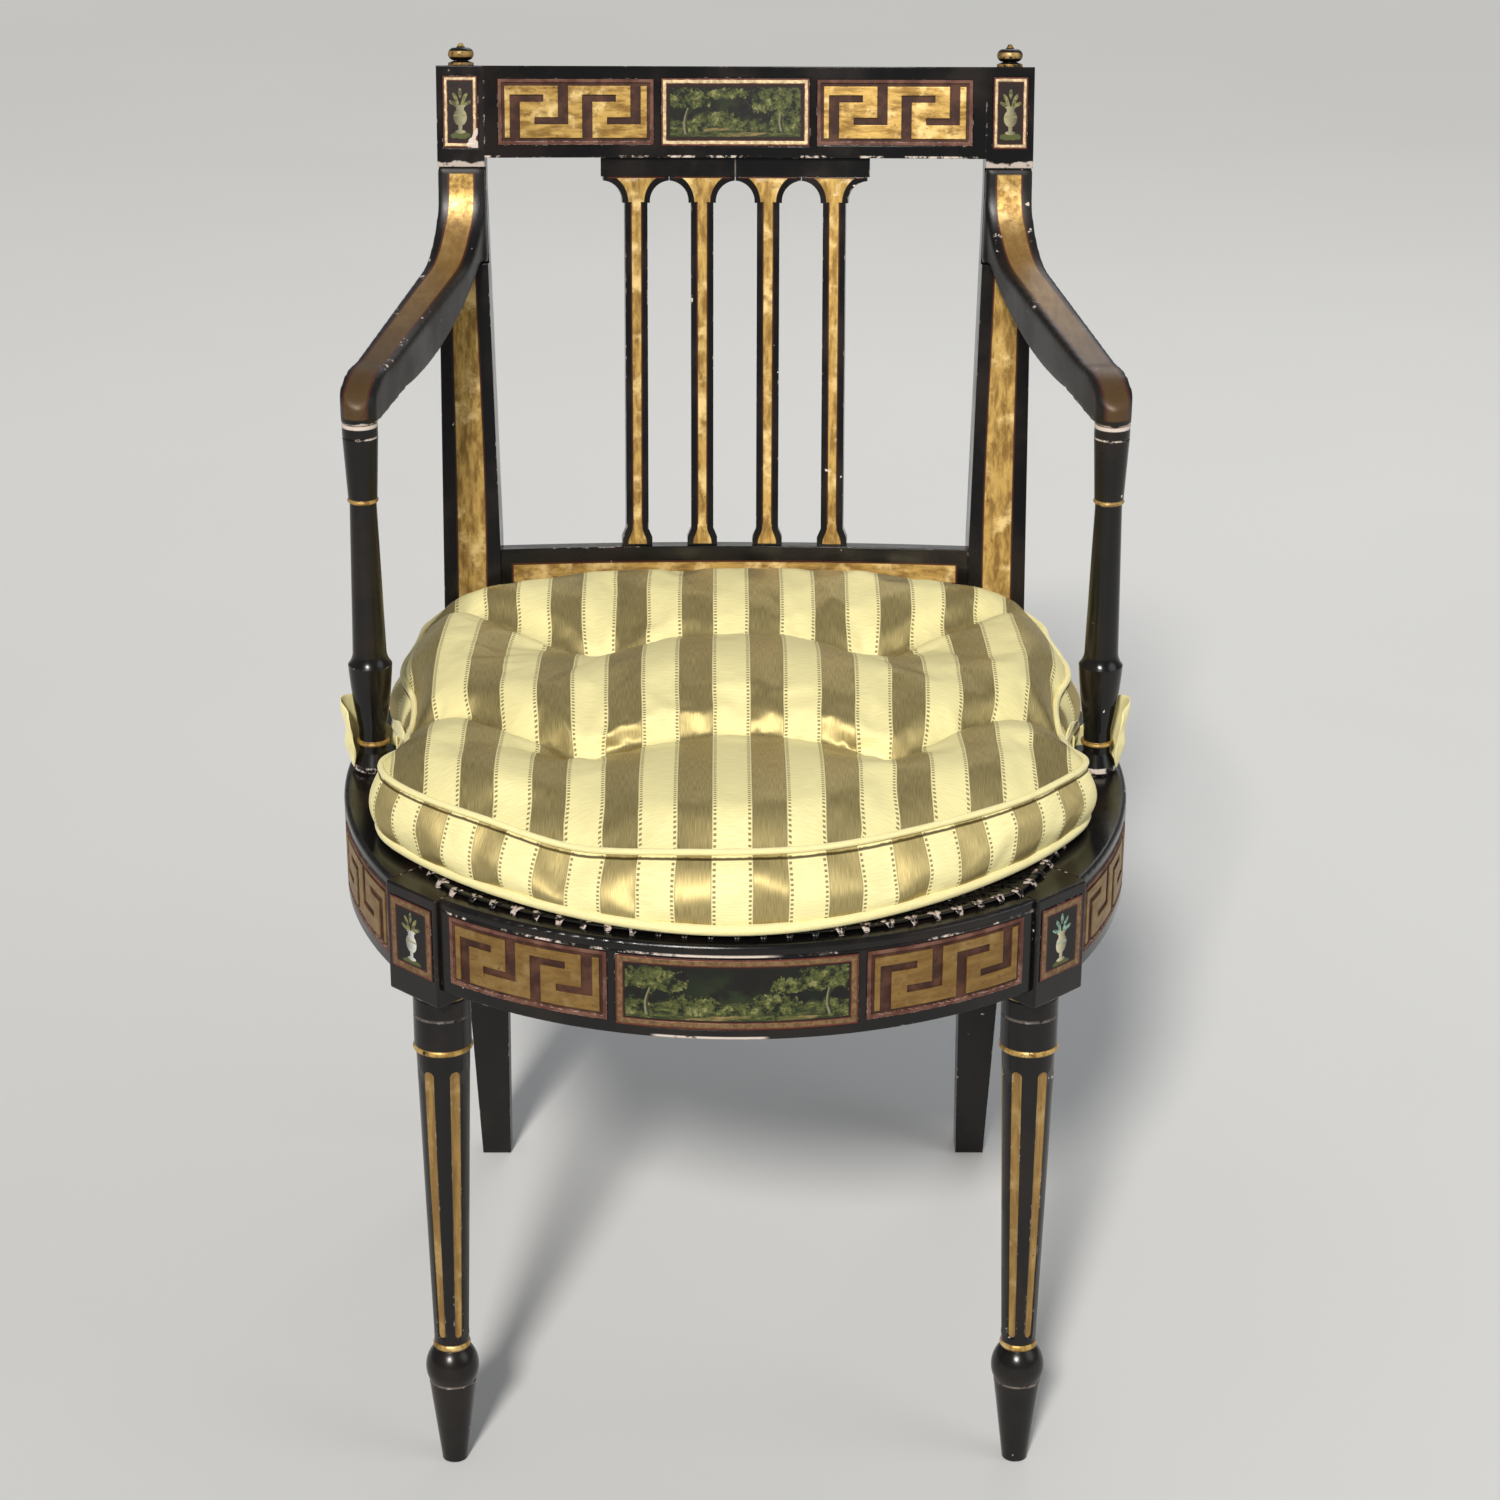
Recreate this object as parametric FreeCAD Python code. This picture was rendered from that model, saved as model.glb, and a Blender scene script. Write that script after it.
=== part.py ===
import FreeCAD, Part
import math
import os

os.makedirs("parts", exist_ok=True)
Vec = FreeCAD.Vector

# An ebonised elbow chair with a cane seat and a loose, tied cushion, in millimetres.
# +Z is up, the front faces -Y and the origin is on the floor below the middle of the chair.

# Fits
FIT = 0.1                # gap round a tenon, a dowel, a screw or a let-in panel
SOFT_GAP = 0.3           # gap between the cushion and what it lies on or is tied to

# Seat frame, drawn in plan about the middle of the seat
SEAT_TOP = 423.5         # top of the rails above the floor
RAIL_HEIGHT = 64.0
SEAT_HALF_WIDTH = 268.0  # to the face of a side rail at its widest
SEAT_TAPER = 53.0        # how much narrower each side is at the stiles
FRONT_REACH = 30.0       # how much further the front rail's face is from the seat centre
FRONT_RAIL_WIDTH = 30.0
WIDEST_Y = -20.0         # where the seat is widest, and where the arm posts stand
SIDE_RAIL_WIDTH = 50.0   # at the widest place
REAR_RAIL_WIDTH = 30.0
RIM_ROUND = 3.0          # rounded top edge of the rails
BEAD_DROP = 7.0          # incised line below the top edge, which sets off a bead
LINE_DEPTH = 0.7         # depth and half width of every incised line
RAIL_TENON_LENGTH = 14.0
RAIL_TENON_WIDTH = 10.0
RAIL_TENON_SHOULDER = 12.0

# Square blocks over the front legs
BLOCK_SIZE = 47.0
BLOCK_HEIGHT = 76.5
BLOCK_ANGLE = 43.6       # direction of a block from the front, about the seat centre
BLOCK_PROUD = 2.5        # how far its face stands in front of the rails
BLOCK_ROUND = 1.5
DOWEL_R = 4.0
DOWEL_LENGTH = 20.0
DOWEL_INSET = 18.0       # behind the rail's face
DOWEL_SPACING = 28.0

# Front legs
LEG_RAKE = 3.5           # degrees that the foot stands forward
LEG_TENON_R = 11.0
LEG_TENON_LENGTH = 30.0
LEG_COLLAR_R = 18.4
LEG_COLLAR = 4.5         # height of the collar
LEG_DRUM_R = 18.8
LEG_DRUM = 34.0
LEG_DRUM_LINE = 17.5     # incised line below the block
LEG_RING_R = 19.6
LEG_RING = 4.4
LEG_SHAFT_TOP_R = 17.6
LEG_SHAFT_LOW_R = 11.7
LEG_ANKLE_R = 12.6
LEG_ANKLE_TOP = 89.5
LEG_ANKLE_LOW = 85.0
LEG_BULB_R = 17.3
LEG_BULB_Z = 75.0
LEG_FOOT_LINE = 60.0
LEG_FOOT_TOP_R = 15.9    # at that line
LEG_FOOT_R = 8.7
FLUTES = 6
FLUTE_R = 5.2            # radius of the cutter
FLUTE_DEPTH = 1.5
FLUTE_TOP_GAP = 15.0     # plain shaft below the ring
FLUTE_LOW_GAP = 8.0      # plain shaft above the ankle

# Rear legs, each running up as a stile of the back
BACK_Y = 170.3           # face of the stiles at the level of the seat
BACK_RAKE = 10.9         # degrees that the back leans
STILE_FACE_LOW = 42.0    # width of a stile at the seat
STILE_FACE_TOP = 34.0
STILE_DEPTH_LOW = 34.0
STILE_DEPTH_TOP = 28.0
STILE_TOP = 439.5        # along the stile, above the seat
REAR_FOOT_INSET = 26.0   # middle of a rear foot inside the stile's outer side
REAR_FOOT_Y = 202.0
REAR_FOOT_SIZE = 22.0
REAR_LEG_SWEEP = 4.0     # bow of the leg's sides below the seat

# Back, measured along the stiles from the seat and bowed in plan
BOW_SAG = 22.0
CREST_LOW = 374.4
CREST_THICK = 24.0
CREST_TENON_LENGTH = 10.0
LOWER_RAIL_LOW = 48.6
LOWER_RAIL_HEIGHT = 40.7
LOWER_RAIL_THICK = 22.0
BACK_TENON_THICK = 8.0
BACK_TENON_SHOULDER = 9.0
SPLAT_SETBACK = 4.0      # behind the face of the crest
SPLAT_THICK = 13.0
SPLAT_PITCH = 48.0
HEAD_HEIGHT = 13.6
HEAD_END = 2.0           # head rail beyond the outer capitals
CAPITAL_HEIGHT = 19.0
CAPITAL_LIP = 3.0        # straight edge at the top of a capital
CAPITAL_STEP = 1.8
SHAFT_HALF = 8.2
COLUMN_FOOT_HALF = 11.0
COLUMN_FOOT_HEIGHT = 13.0
COLUMN_TENON = 8.0
HEAD_DOWEL_R = 3.0
HEAD_DOWEL_LENGTH = 18.0
FINIAL_R = 9.3
FINIAL_HEIGHT = 16.0
FINIAL_DISC = 2.0        # height of the disc at its foot
FINIAL_NECK_R = 4.8
FINIAL_NECK = 3.6        # height of the neck above the stile
FINIAL_KNOB = 8.2        # height of the knob's widest place
FINIAL_TIP = 12.5        # foot of the tip
FINIAL_TIP_R = 3.4
FINIAL_FLAT_R = 1.2      # small flat at the very top
FINIAL_TENON_R = 4.0
FINIAL_TENON_LENGTH = 15.0

# Panels let into the rails, the crest, the stiles and the leg blocks
PANEL_RECESS = 2.0
PANEL_PROUD = 0.6
PANEL_END = 8.5          # crest between the last panel and the stile
BLOCK_GAP = 7.0          # rail between a panel and the leg block
KEY_SHARE = 0.6243       # key panel's width as a share of half the crest
KEY_DRAWN = 113.0        # width for which the key's level sizes below were drawn
KEY_HEIGHT = 46.6
KEY_RIM = 2.4            # raised rim round a key panel
KEY_BORDER = 2.4         # width of the groove inside the rim
KEY_STROKE = 7.4         # width of an upright groove
KEY_ARM = 5.0            # height of a level groove
KEY_FIRST = 8.5          # margin before the first upright
KEY_REACH = 24.5         # length of a level groove with its upright
KEY_SPAN = 42.5          # from a rising hook to the far side of the falling hook
KEY_PITCH = 52.7
KEY_HIGH = 35.5          # top of a rising hook above the panel's lower edge
KEY_LOW = 14.5           # foot of a falling hook above it
KEY_DEPTH = 1.2
PICTURE_HEIGHT = 48.4
PANEL_GAP = 5.5          # black wood between two panels
PANEL_TOP_GAP = 9.0      # rail above a panel
STILE_PICTURE_WIDTH = 25.0
STILE_PICTURE_HEIGHT = 51.0
BLOCK_PICTURE_WIDTH = 39.0
BLOCK_PICTURE_HEIGHT = 50.0

# Arms and their posts
POST_INSET = 19.0        # post axis behind the side rail's face
ARM_JOINT = 672.0        # top of a post above the floor
ARM_WIDTH = 25.0         # at the post
ARM_FRONT_TOP = 703.0    # upper side where it begins to bend down to the post
ARM_REAR_TOP = 722.0     # upper side where it begins to sweep up to the stile
ARM_STILE_TOP = 772.0    # upper side where it runs out along the stile
ARM_STILE_LOW = 717.0
ARM_UNDER_FRONT = 677.0
ARM_UNDER_MIDDLE = 684.0
ARM_BEND_RUN = 34.0      # bend to the post begins this far behind the post's axis
ARM_NOSE_TOP = 694.5     # middle of the bend, and how far it lies behind the nose
ARM_NOSE_INSET = 10.5
ARM_SWEEP_RUN = 54.6     # sweep to the stile begins this far in front of it
ARM_SWEEP_TOP = 738.0    # middle of the sweep, and how far it lies in front of the stile
ARM_SWEEP_INSET = 19.0
ARM_UNDER_RUN = 62.0     # underside begins to rise this far behind the post's axis
ARM_ROUND = 2.5
TONGUE_DEPTH = 12.0      # housing of the arm in the stile
TONGUE_TOP = 368.0       # along the stile above the seat
SCREW_R = 2.2
SCREW_HEAD_R = 4.5
SCREW_HEAD = 3.0
SCREW_POINT = 2.0        # how far a screw reaches in front of the stile
POST_TENON_R = 8.0
POST_TENON_LENGTH = 30.0
ARM_TENON_R = 6.0
ARM_TENON_LENGTH = 16.0
POST_COLLAR_R = 13.5
POST_WAIST_R = 9.5
POST_RING_R = 11.4
POST_VASE_R = 15.0
POST_SHAFT_LOW_R = 11.5
POST_SHAFT_TOP_R = 9.0
POST_UPPER_RING_R = 10.4
POST_DRUM_LOW_R = 9.8
POST_DRUM_TOP_R = 11.9
POST_COLLAR = 4.8        # heights above the seat
POST_WAIST = 14.5
POST_RING = 21.5
POST_VASE_LOW = 31.0
POST_VASE_HIGH = 78.0
POST_SHAFT_LOW = 88.0
POST_RING_HALF = 1.4     # half height of each ring
POST_SWELL = 0.7         # swelling of the vase's outline
POST_DRUM = 52.0         # height of the drum below the arm
POST_DRUM_LINE = 9.0     # incised line below the arm

# Cane seat, shown as a net with few, wide gaps
CANE_THICK = 1.6
CANE_INSET = 14.0        # row of cane holes behind the front rail's face
CANE_BEARING = 12.0      # row of cane holes outside the seat opening, at the sides and back
BINDING_WIDTH = 5.0
BINDING_THICK = 1.2
CANE_PITCH = 25.5
CANE_GAP = 16.0          # across the flats of an eight-sided gap
CANE_MARGIN = 5.0
STILE_CLEAR = 1.0        # cane clear of the stiles

# Cushion and its ties
CUSHION_FRONT_INSET = 16.0
CUSHION_SIDE_INSET = 27.0
CUSHION_REAR_OVERHANG = 4.0   # beyond the outside of the stiles
CUSHION_BACK_GAP = 2.5        # in front of the stiles
BOXING_HEIGHT = 47.0
LOWER_SEAM = 6.0              # seam above the underside
CROWN_HEIGHT = 33.0
CROWN_SPARE = 5.0             # height that the crown's outline cuts off again
CROWN_RUN = 62.0              # from the edge to the top of the crown
REAR_RUN_SHARE = 0.5          # the crown is steeper at the back
CROWN_STEPS = 4
TERRACE_FRONT = 12.5          # low front of the crown, above the seam, and at its fold
TERRACE_REAR = 14.0
FRONT_FOLD_Y = -112.0
FOLD_RUN = 20.0               # from a fold to halfway up the swelling behind it
FOLD_RISE = 11.0
MIDDLE_Y = -45.0              # highest place between the folds
MIDDLE_DROP = 4.0             # drop from there to halfway to the rear fold
REAR_FOLD_Y = 57.0
REAR_FOLD_DROP = 11.0         # below the crown's top
REAR_RISE = 8.0
REAR_CROWN_Y = 112.0
BOXING_BULGE = 4.0
NOTCH_R = 24.0                # cut-out round a post
TUFT_FRONT_X = 102.0
TUFT_FRONT_Y = -121.0
TUFT_REAR_X = 92.0
TUFT_REAR_Y = 52.0
TUFT_DEPTH = 32.0             # below the crown's top
TUFT_R = 60.0
TUFT_BUTTON_R = 4.0
TUFT_SLOPE_R = 24.0           # middle of the funnel's side, and its depth
TUFT_SLOPE = 15.0
TIE_R = 17.5                  # inside of a loop
TIE_THICK = 1.8
TIE_WIDTH = 14.0
TIE_HEIGHT = 13.0             # loop above the seat
TIE_TAB_HALF = 6.0
KNOT_R = 6.5

# Places worked out from the sizes above
RAIL_LOW = SEAT_TOP - RAIL_HEIGHT
BLOCK_LOW = SEAT_TOP - BLOCK_HEIGHT
FRONT_BOW = SEAT_HALF_WIDTH + FRONT_REACH    # radius of the front rail's face
BLOCK_DISTANCE = FRONT_BOW + BLOCK_PROUD - BLOCK_SIZE / 2
LEG_X = BLOCK_DISTANCE * math.sin(math.radians(BLOCK_ANGLE))
LEG_Y = -BLOCK_DISTANCE * math.cos(math.radians(BLOCK_ANGLE))
STILE_OUTER = SEAT_HALF_WIDTH - SEAT_TAPER   # half width over the stiles
STILE_INNER_LOW = STILE_OUTER - STILE_FACE_LOW
STILE_INNER_TOP = STILE_OUTER - STILE_FACE_TOP
STILE_MIDDLE = STILE_OUTER - STILE_FACE_TOP / 2
REAR_FOOT_X = STILE_OUTER - REAR_FOOT_INSET
RAKE = math.radians(BACK_RAKE)
BOW_R = (STILE_INNER_TOP ** 2 + BOW_SAG ** 2) / (2 * BOW_SAG)
BOW_CENTRE = (0.0, BACK_Y + BOW_SAG - BOW_R)
POST_X = SEAT_HALF_WIDTH - POST_INSET
POST_Y = WIDEST_Y
PANEL_HIGH = SEAT_TOP - PANEL_TOP_GAP
KEY_WIDTH = KEY_SHARE * STILE_INNER_TOP
KEY_SCALE = KEY_WIDTH / KEY_DRAWN
CREST_PICTURE_HALF = STILE_INNER_TOP - PANEL_END - KEY_WIDTH - PANEL_GAP
FRONT_RUN = FRONT_BOW * (math.radians(BLOCK_ANGLE) - math.atan(BLOCK_SIZE / 2 / BLOCK_DISTANCE))
FRONT_PICTURE_HALF = FRONT_RUN - BLOCK_GAP - KEY_WIDTH - PANEL_GAP
CANE_TOP = SEAT_TOP + CANE_THICK
CUSHION_LOW = CANE_TOP + BINDING_THICK + SOFT_GAP
CROWN_TOP = CUSHION_LOW + BOXING_HEIGHT + CROWN_HEIGHT
FAR = 600.0              # larger than the chair, for cutting tools


# Building blocks
def box(x, y, z):
    return Part.makeBox(x[1] - x[0], y[1] - y[0], z[1] - z[0], Vec(x[0], y[0], z[0]))


def rod(radius, low, high, x=0.0, y=0.0):
    return Part.makeCylinder(radius, high - low, Vec(x, y, low))


def wire(points, place):
    """Closed wire: (a, b) is a straight run to that point, (ma, mb, a, b) an arc through (ma, mb)."""
    edges = []
    last = place(*points[0][-2:])
    for point in points[1:] + points[:1]:
        end = place(*point[-2:])
        if len(point) == 4:
            edges.append(Part.Arc(last, place(*point[:2]), end).toShape())
        else:
            edges.append(Part.LineSegment(last, end).toShape())
        last = end
    return Part.Wire(edges)


def prism(points, place, along):
    return Part.Face(wire(points, place)).extrude(along)


def lathe(points):
    face = Part.Face(wire(points, lambda radius, z: Vec(radius, 0, z)))
    return face.revolve(Vec(0, 0, 0), Vec(0, 0, 1), 360)


def incised(radius, z):
    """Profile points of a line cut round a turned piece, from its upper to its lower edge."""
    return [(radius, z + LINE_DEPTH), (radius - LINE_DEPTH, z), (radius, z - LINE_DEPTH)]


def sector(centre, toward, radii, angles, heights):
    """Curved bar between two radii and two angles, in degrees from +Y or -Y as toward says."""
    def at(radius, angle):
        turn = math.radians(angle)
        x = centre[0] + radius * math.sin(turn)
        y = centre[1] + toward * radius * math.cos(turn)
        return Vec(x, y, heights[0])
    start, end = angles
    middle = (start + end) / 2
    inner, outer = radii
    edges = [
        Part.Arc(at(outer, start), at(outer, middle), at(outer, end)).toShape(),
        Part.LineSegment(at(outer, end), at(inner, end)).toShape(),
        Part.Arc(at(inner, end), at(inner, middle), at(inner, start)).toShape(),
        Part.LineSegment(at(inner, start), at(outer, start)).toShape(),
    ]
    return Part.Face(Part.Wire(edges)).extrude(Vec(0, 0, heights[1] - heights[0]))


def rounded(shape, radius, longer_than):
    """Round the long edges of a bar."""
    return shape.makeFillet(radius, [edge for edge in shape.Edges if edge.Length > longer_than])


def mirrored(shape):
    return shape.mirror(Vec(0, 0, 0), Vec(1, 0, 0))


def lean(shape):
    """Lean a shape back with the stiles, about the line where they pass the seat."""
    turned = shape.copy()
    turned.rotate(Vec(0, BACK_Y, SEAT_TOP), Vec(1, 0, 0), -BACK_RAKE)
    return turned


def to_block(shape):
    """Move a shape from block terms (X across the face, -Y out of it) to the right-hand block."""
    moved = shape.copy()
    moved.rotate(Vec(0, 0, 0), Vec(0, 0, 1), BLOCK_ANGLE)
    moved.translate(Vec(LEG_X, LEG_Y, 0))
    return moved


def stile_y(z):
    """Face of the leaning stiles at a height above the floor."""
    return BACK_Y + (z - SEAT_TOP) * math.tan(RAKE)


parts = {}


def keep(name, shape):
    parts[name] = shape


def keep_pair(name, right):
    keep(name + "_right", right)
    keep(name + "_left", mirrored(right))


# Seat plan
def side_circle(half_width, rear_x):
    """Circle of a side rail: its centre's x and its radius, from the widest place to the stile."""
    drop = half_width - rear_x
    run = BACK_Y - WIDEST_Y
    radius = (drop ** 2 + run ** 2) / (2 * drop)
    return half_width - radius, radius


def rimmed_disc(radius, low, high, x=0.0, y=0.0):
    """Disc with a rounded top edge and a line cut below it."""
    slope = RIM_ROUND * (1 - math.sqrt(0.5))
    points = [(0, low), (radius, low)]
    points += reversed(incised(radius, high - BEAD_DROP))
    points += [(radius, high - RIM_ROUND), (radius - slope, high - slope, radius - RIM_ROUND, high)]
    points += [(0, high)]
    shape = lathe(points)
    shape.translate(Vec(x, y, 0))
    return shape


def plan_plate(make, front_radius, half_width, rear_x, rear_y, low, high):
    """Plate with the seat's plan: a bowed front, two bowed sides and a straight back."""
    plate = make(front_radius, low, high)
    centre_x, radius = side_circle(half_width, rear_x)
    for side in (1, -1):
        plate = plate.common(make(radius, low, high, side * centre_x, WIDEST_Y))
    return plate.common(box((-FAR, FAR), (-FAR, rear_y), (low, high)))


# Panels
def curved_panel(centre, toward, face, outward, run, heights):
    """Let-in panel on a curved face and its pocket; run is the stretch of arc it covers."""
    def bar(floor, top, grow):
        radii = sorted((face - outward * floor, face + outward * top))
        angles = [math.degrees(run[0] - grow) / face, math.degrees(run[1] + grow) / face]
        return sector(centre, toward, radii, angles, (heights[0] - grow, heights[1] + grow))
    return bar(PANEL_RECESS, PANEL_PROUD, 0.0), bar(PANEL_RECESS, 2 * PANEL_PROUD, FIT)


def key_grooves():
    """Border and Greek key in panel terms: stretches from the panel's start and its lower edge."""
    low = KEY_RIM
    high = KEY_HEIGHT - KEY_RIM
    far = KEY_WIDTH - KEY_RIM
    grooves = [(KEY_RIM, far, low, low + KEY_BORDER), (KEY_RIM, far, high - KEY_BORDER, high),
               (KEY_RIM, KEY_RIM + KEY_BORDER, low, high), (far - KEY_BORDER, far, low, high)]
    stroke = KEY_STROKE * KEY_SCALE
    reach = KEY_REACH * KEY_SCALE
    for copy in range(2):
        rise = (KEY_FIRST + copy * KEY_PITCH) * KEY_SCALE
        fall = rise + KEY_SPAN * KEY_SCALE
        grooves.append((rise, rise + stroke, low, KEY_HIGH))
        grooves.append((rise, rise + reach, KEY_HIGH - KEY_ARM, KEY_HIGH))
        grooves.append((fall - stroke, fall, KEY_LOW, high))
        grooves.append((fall - reach, fall, KEY_LOW, KEY_LOW + KEY_ARM))
    return grooves


def key_panel(centre, toward, face, outward, start, low):
    """Greek key panel and its pocket, from start along the arc."""
    run = (start, start + KEY_WIDTH)
    panel, pocket = curved_panel(centre, toward, face, outward, run, (low, low + KEY_HEIGHT))
    for left, right, bottom, top in key_grooves():
        radii = sorted((face + outward * (PANEL_PROUD - KEY_DEPTH), face + outward * 2 * PANEL_PROUD))
        angles = [math.degrees(start + left) / face, math.degrees(start + right) / face]
        panel = panel.cut(sector(centre, toward, radii, angles, (low + bottom, low + top)))
    return panel, pocket


def flat_panel(x, y_face, heights, half_width):
    """Let-in panel on a flat face that looks along -Y, and its pocket."""
    across = (x - half_width, x + half_width)
    panel = box(across, (y_face - PANEL_PROUD, y_face + PANEL_RECESS), heights)
    pocket = box((across[0] - FIT, across[1] + FIT), (y_face - 2 * PANEL_PROUD, y_face + PANEL_RECESS),
                 (heights[0] - FIT, heights[1] + FIT))
    return panel, pocket


# Seat rails
def seat_frame():
    """Front, right and left rails as one curved frame, before they are cut apart at the blocks."""
    plate = plan_plate(rimmed_disc, FRONT_BOW, SEAT_HALF_WIDTH, STILE_OUTER, BACK_Y, RAIL_LOW, SEAT_TOP)
    opening = plan_plate(rod, FRONT_BOW - FRONT_RAIL_WIDTH, SEAT_HALF_WIDTH - SIDE_RAIL_WIDTH,
                         STILE_INNER_LOW, BACK_Y, RAIL_LOW, SEAT_TOP)
    return plate.cut(opening)


def block_blank():
    half = BLOCK_SIZE / 2
    blank = box((-half, half), (-half, half), (BLOCK_LOW, SEAT_TOP))
    return to_block(blank.makeFillet(BLOCK_ROUND, blank.Edges))


def block_dowels(side, radius):
    """Two dowels on one side of the right-hand block: -1 towards the front rail, 1 towards the side rail."""
    dowels = []
    inset_y = -(FRONT_BOW - DOWEL_INSET - BLOCK_DISTANCE)
    for step in (-1, 1):
        z = (SEAT_TOP + RAIL_LOW) / 2 + step * DOWEL_SPACING / 2
        start = Vec(side * BLOCK_SIZE / 2 - DOWEL_LENGTH / 2, inset_y, z)
        dowels.append(to_block(Part.makeCylinder(radius, DOWEL_LENGTH, start, Vec(1, 0, 0))))
    return dowels


def tenon_heights():
    return RAIL_LOW + RAIL_TENON_SHOULDER, SEAT_TOP - RAIL_TENON_SHOULDER


def side_tenon(grow):
    """Tenon of the right-hand side rail, in the outer half of the stile."""
    middle = STILE_OUTER - STILE_FACE_LOW / 2 + RAIL_TENON_WIDTH / 2
    low, high = tenon_heights()
    half = RAIL_TENON_WIDTH / 2 + grow
    depth = (BACK_Y, BACK_Y + RAIL_TENON_LENGTH + grow)
    return box((middle - half, middle + half), depth, (low - grow, high + grow))


def rear_tenon(grow):
    """Tenon of the rear rail in the right-hand stile, behind the side rail's tenon."""
    back = BACK_Y + REAR_RAIL_WIDTH
    low, high = tenon_heights()
    return box((STILE_INNER_LOW, STILE_INNER_LOW + RAIL_TENON_LENGTH + grow),
               (back - RAIL_TENON_WIDTH - grow, back + grow), (low - grow, high + grow))


frame = seat_frame()
right_block = block_blank()
pieces = frame.cut(right_block).cut(mirrored(right_block)).Solids
front_rail = min(pieces, key=lambda solid: abs(solid.CenterOfMass.x))
side_rail = max(pieces, key=lambda solid: solid.CenterOfMass.x)

front_centre = (0.0, 0.0)
picture, pocket = curved_panel(front_centre, -1, FRONT_BOW, 1, (-FRONT_PICTURE_HALF, FRONT_PICTURE_HALF),
                               (PANEL_HIGH - PICTURE_HEIGHT, PANEL_HIGH))
keep("front_picture_panel", picture)
front_rail = front_rail.cut(pocket)
right_start = FRONT_PICTURE_HALF + PANEL_GAP
for name, start in (("right", right_start), ("left", -right_start - KEY_WIDTH)):
    panel, pocket = key_panel(front_centre, -1, FRONT_BOW, 1, start, PANEL_HIGH - KEY_HEIGHT)
    keep("front_key_panel_" + name, panel)
    front_rail = front_rail.cut(pocket)

dowels = block_dowels(-1, DOWEL_R) + block_dowels(1, DOWEL_R)
dowel_holes = block_dowels(-1, DOWEL_R + FIT) + block_dowels(1, DOWEL_R + FIT)
for hole in dowel_holes:
    front_rail = front_rail.cut(hole).cut(mirrored(hole))
    side_rail = side_rail.cut(hole)
    right_block = right_block.cut(hole)
keep("rail_dowels", Part.makeCompound(dowels + [mirrored(dowel) for dowel in dowels]))
keep("front_seat_rail", front_rail)

side_centre_x, side_radius = side_circle(SEAT_HALF_WIDTH, STILE_OUTER)
side_centre = (side_centre_x, WIDEST_Y)
corner = to_block(Part.Vertex(BLOCK_SIZE / 2, -BLOCK_SIZE / 2, 0)).Point
corner_angle = math.atan2(corner.x - side_centre_x, WIDEST_Y - corner.y)
side_start = side_radius * corner_angle + PANEL_GAP
panel, pocket = key_panel(side_centre, -1, side_radius, 1, side_start, PANEL_HIGH - KEY_HEIGHT)
keep_pair("side_key_panel", panel)
post_hole = rod(POST_TENON_R + FIT, SEAT_TOP - POST_TENON_LENGTH - FIT, SEAT_TOP, POST_X, POST_Y)
side_rail = side_rail.cut(pocket).cut(post_hole)
keep_pair("side_seat_rail", side_rail.fuse(side_tenon(0.0)))

rear_rail = box((-STILE_INNER_LOW, STILE_INNER_LOW), (BACK_Y, BACK_Y + REAR_RAIL_WIDTH), (RAIL_LOW, SEAT_TOP))
keep("rear_seat_rail", rear_rail.fuse(rear_tenon(0.0)).fuse(mirrored(rear_tenon(0.0))))


# Front legs and their blocks
def rake_leg(shape):
    """Tilt a shape on the leg's axis so that the foot stands forward, and set it below its block."""
    moved = shape.copy()
    moved.rotate(Vec(0, 0, BLOCK_LOW), Vec(1, 0, 0), -LEG_RAKE)
    moved.translate(Vec(LEG_X, LEG_Y, 0))
    return moved


def leg_tenon(radius, length):
    return rake_leg(rod(radius, BLOCK_LOW - LEG_COLLAR, BLOCK_LOW + length))


def leg_turning():
    """Turned outline, made too long at both ends and then cut level by the block and the floor."""
    spare = LEG_FOOT_R
    drum_top = BLOCK_LOW - LEG_COLLAR
    drum_low = drum_top - LEG_DRUM
    shaft_top = drum_low - LEG_RING
    points = [(0, BLOCK_LOW + LEG_COLLAR), (LEG_COLLAR_R, BLOCK_LOW + LEG_COLLAR), (LEG_COLLAR_R, drum_top)]
    points += [(LEG_DRUM_R, drum_top - LINE_DEPTH)]
    points += incised(LEG_DRUM_R, BLOCK_LOW - LEG_DRUM_LINE)
    points += [(LEG_DRUM_R, drum_low), (LEG_RING_R, drum_low - LEG_RING / 2, LEG_SHAFT_TOP_R, shaft_top)]
    points += [(LEG_SHAFT_LOW_R, LEG_ANKLE_TOP)]
    points += [(LEG_ANKLE_R, (LEG_ANKLE_TOP + LEG_ANKLE_LOW) / 2, LEG_SHAFT_LOW_R, LEG_ANKLE_LOW)]
    points += [(LEG_BULB_R, LEG_BULB_Z, LEG_FOOT_TOP_R, LEG_FOOT_LINE + LINE_DEPTH)]
    points += incised(LEG_FOOT_TOP_R, LEG_FOOT_LINE)[1:]
    points += [(LEG_FOOT_R, 0.0), (LEG_FOOT_R, -spare), (0, -spare)]
    return lathe(points)


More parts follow.
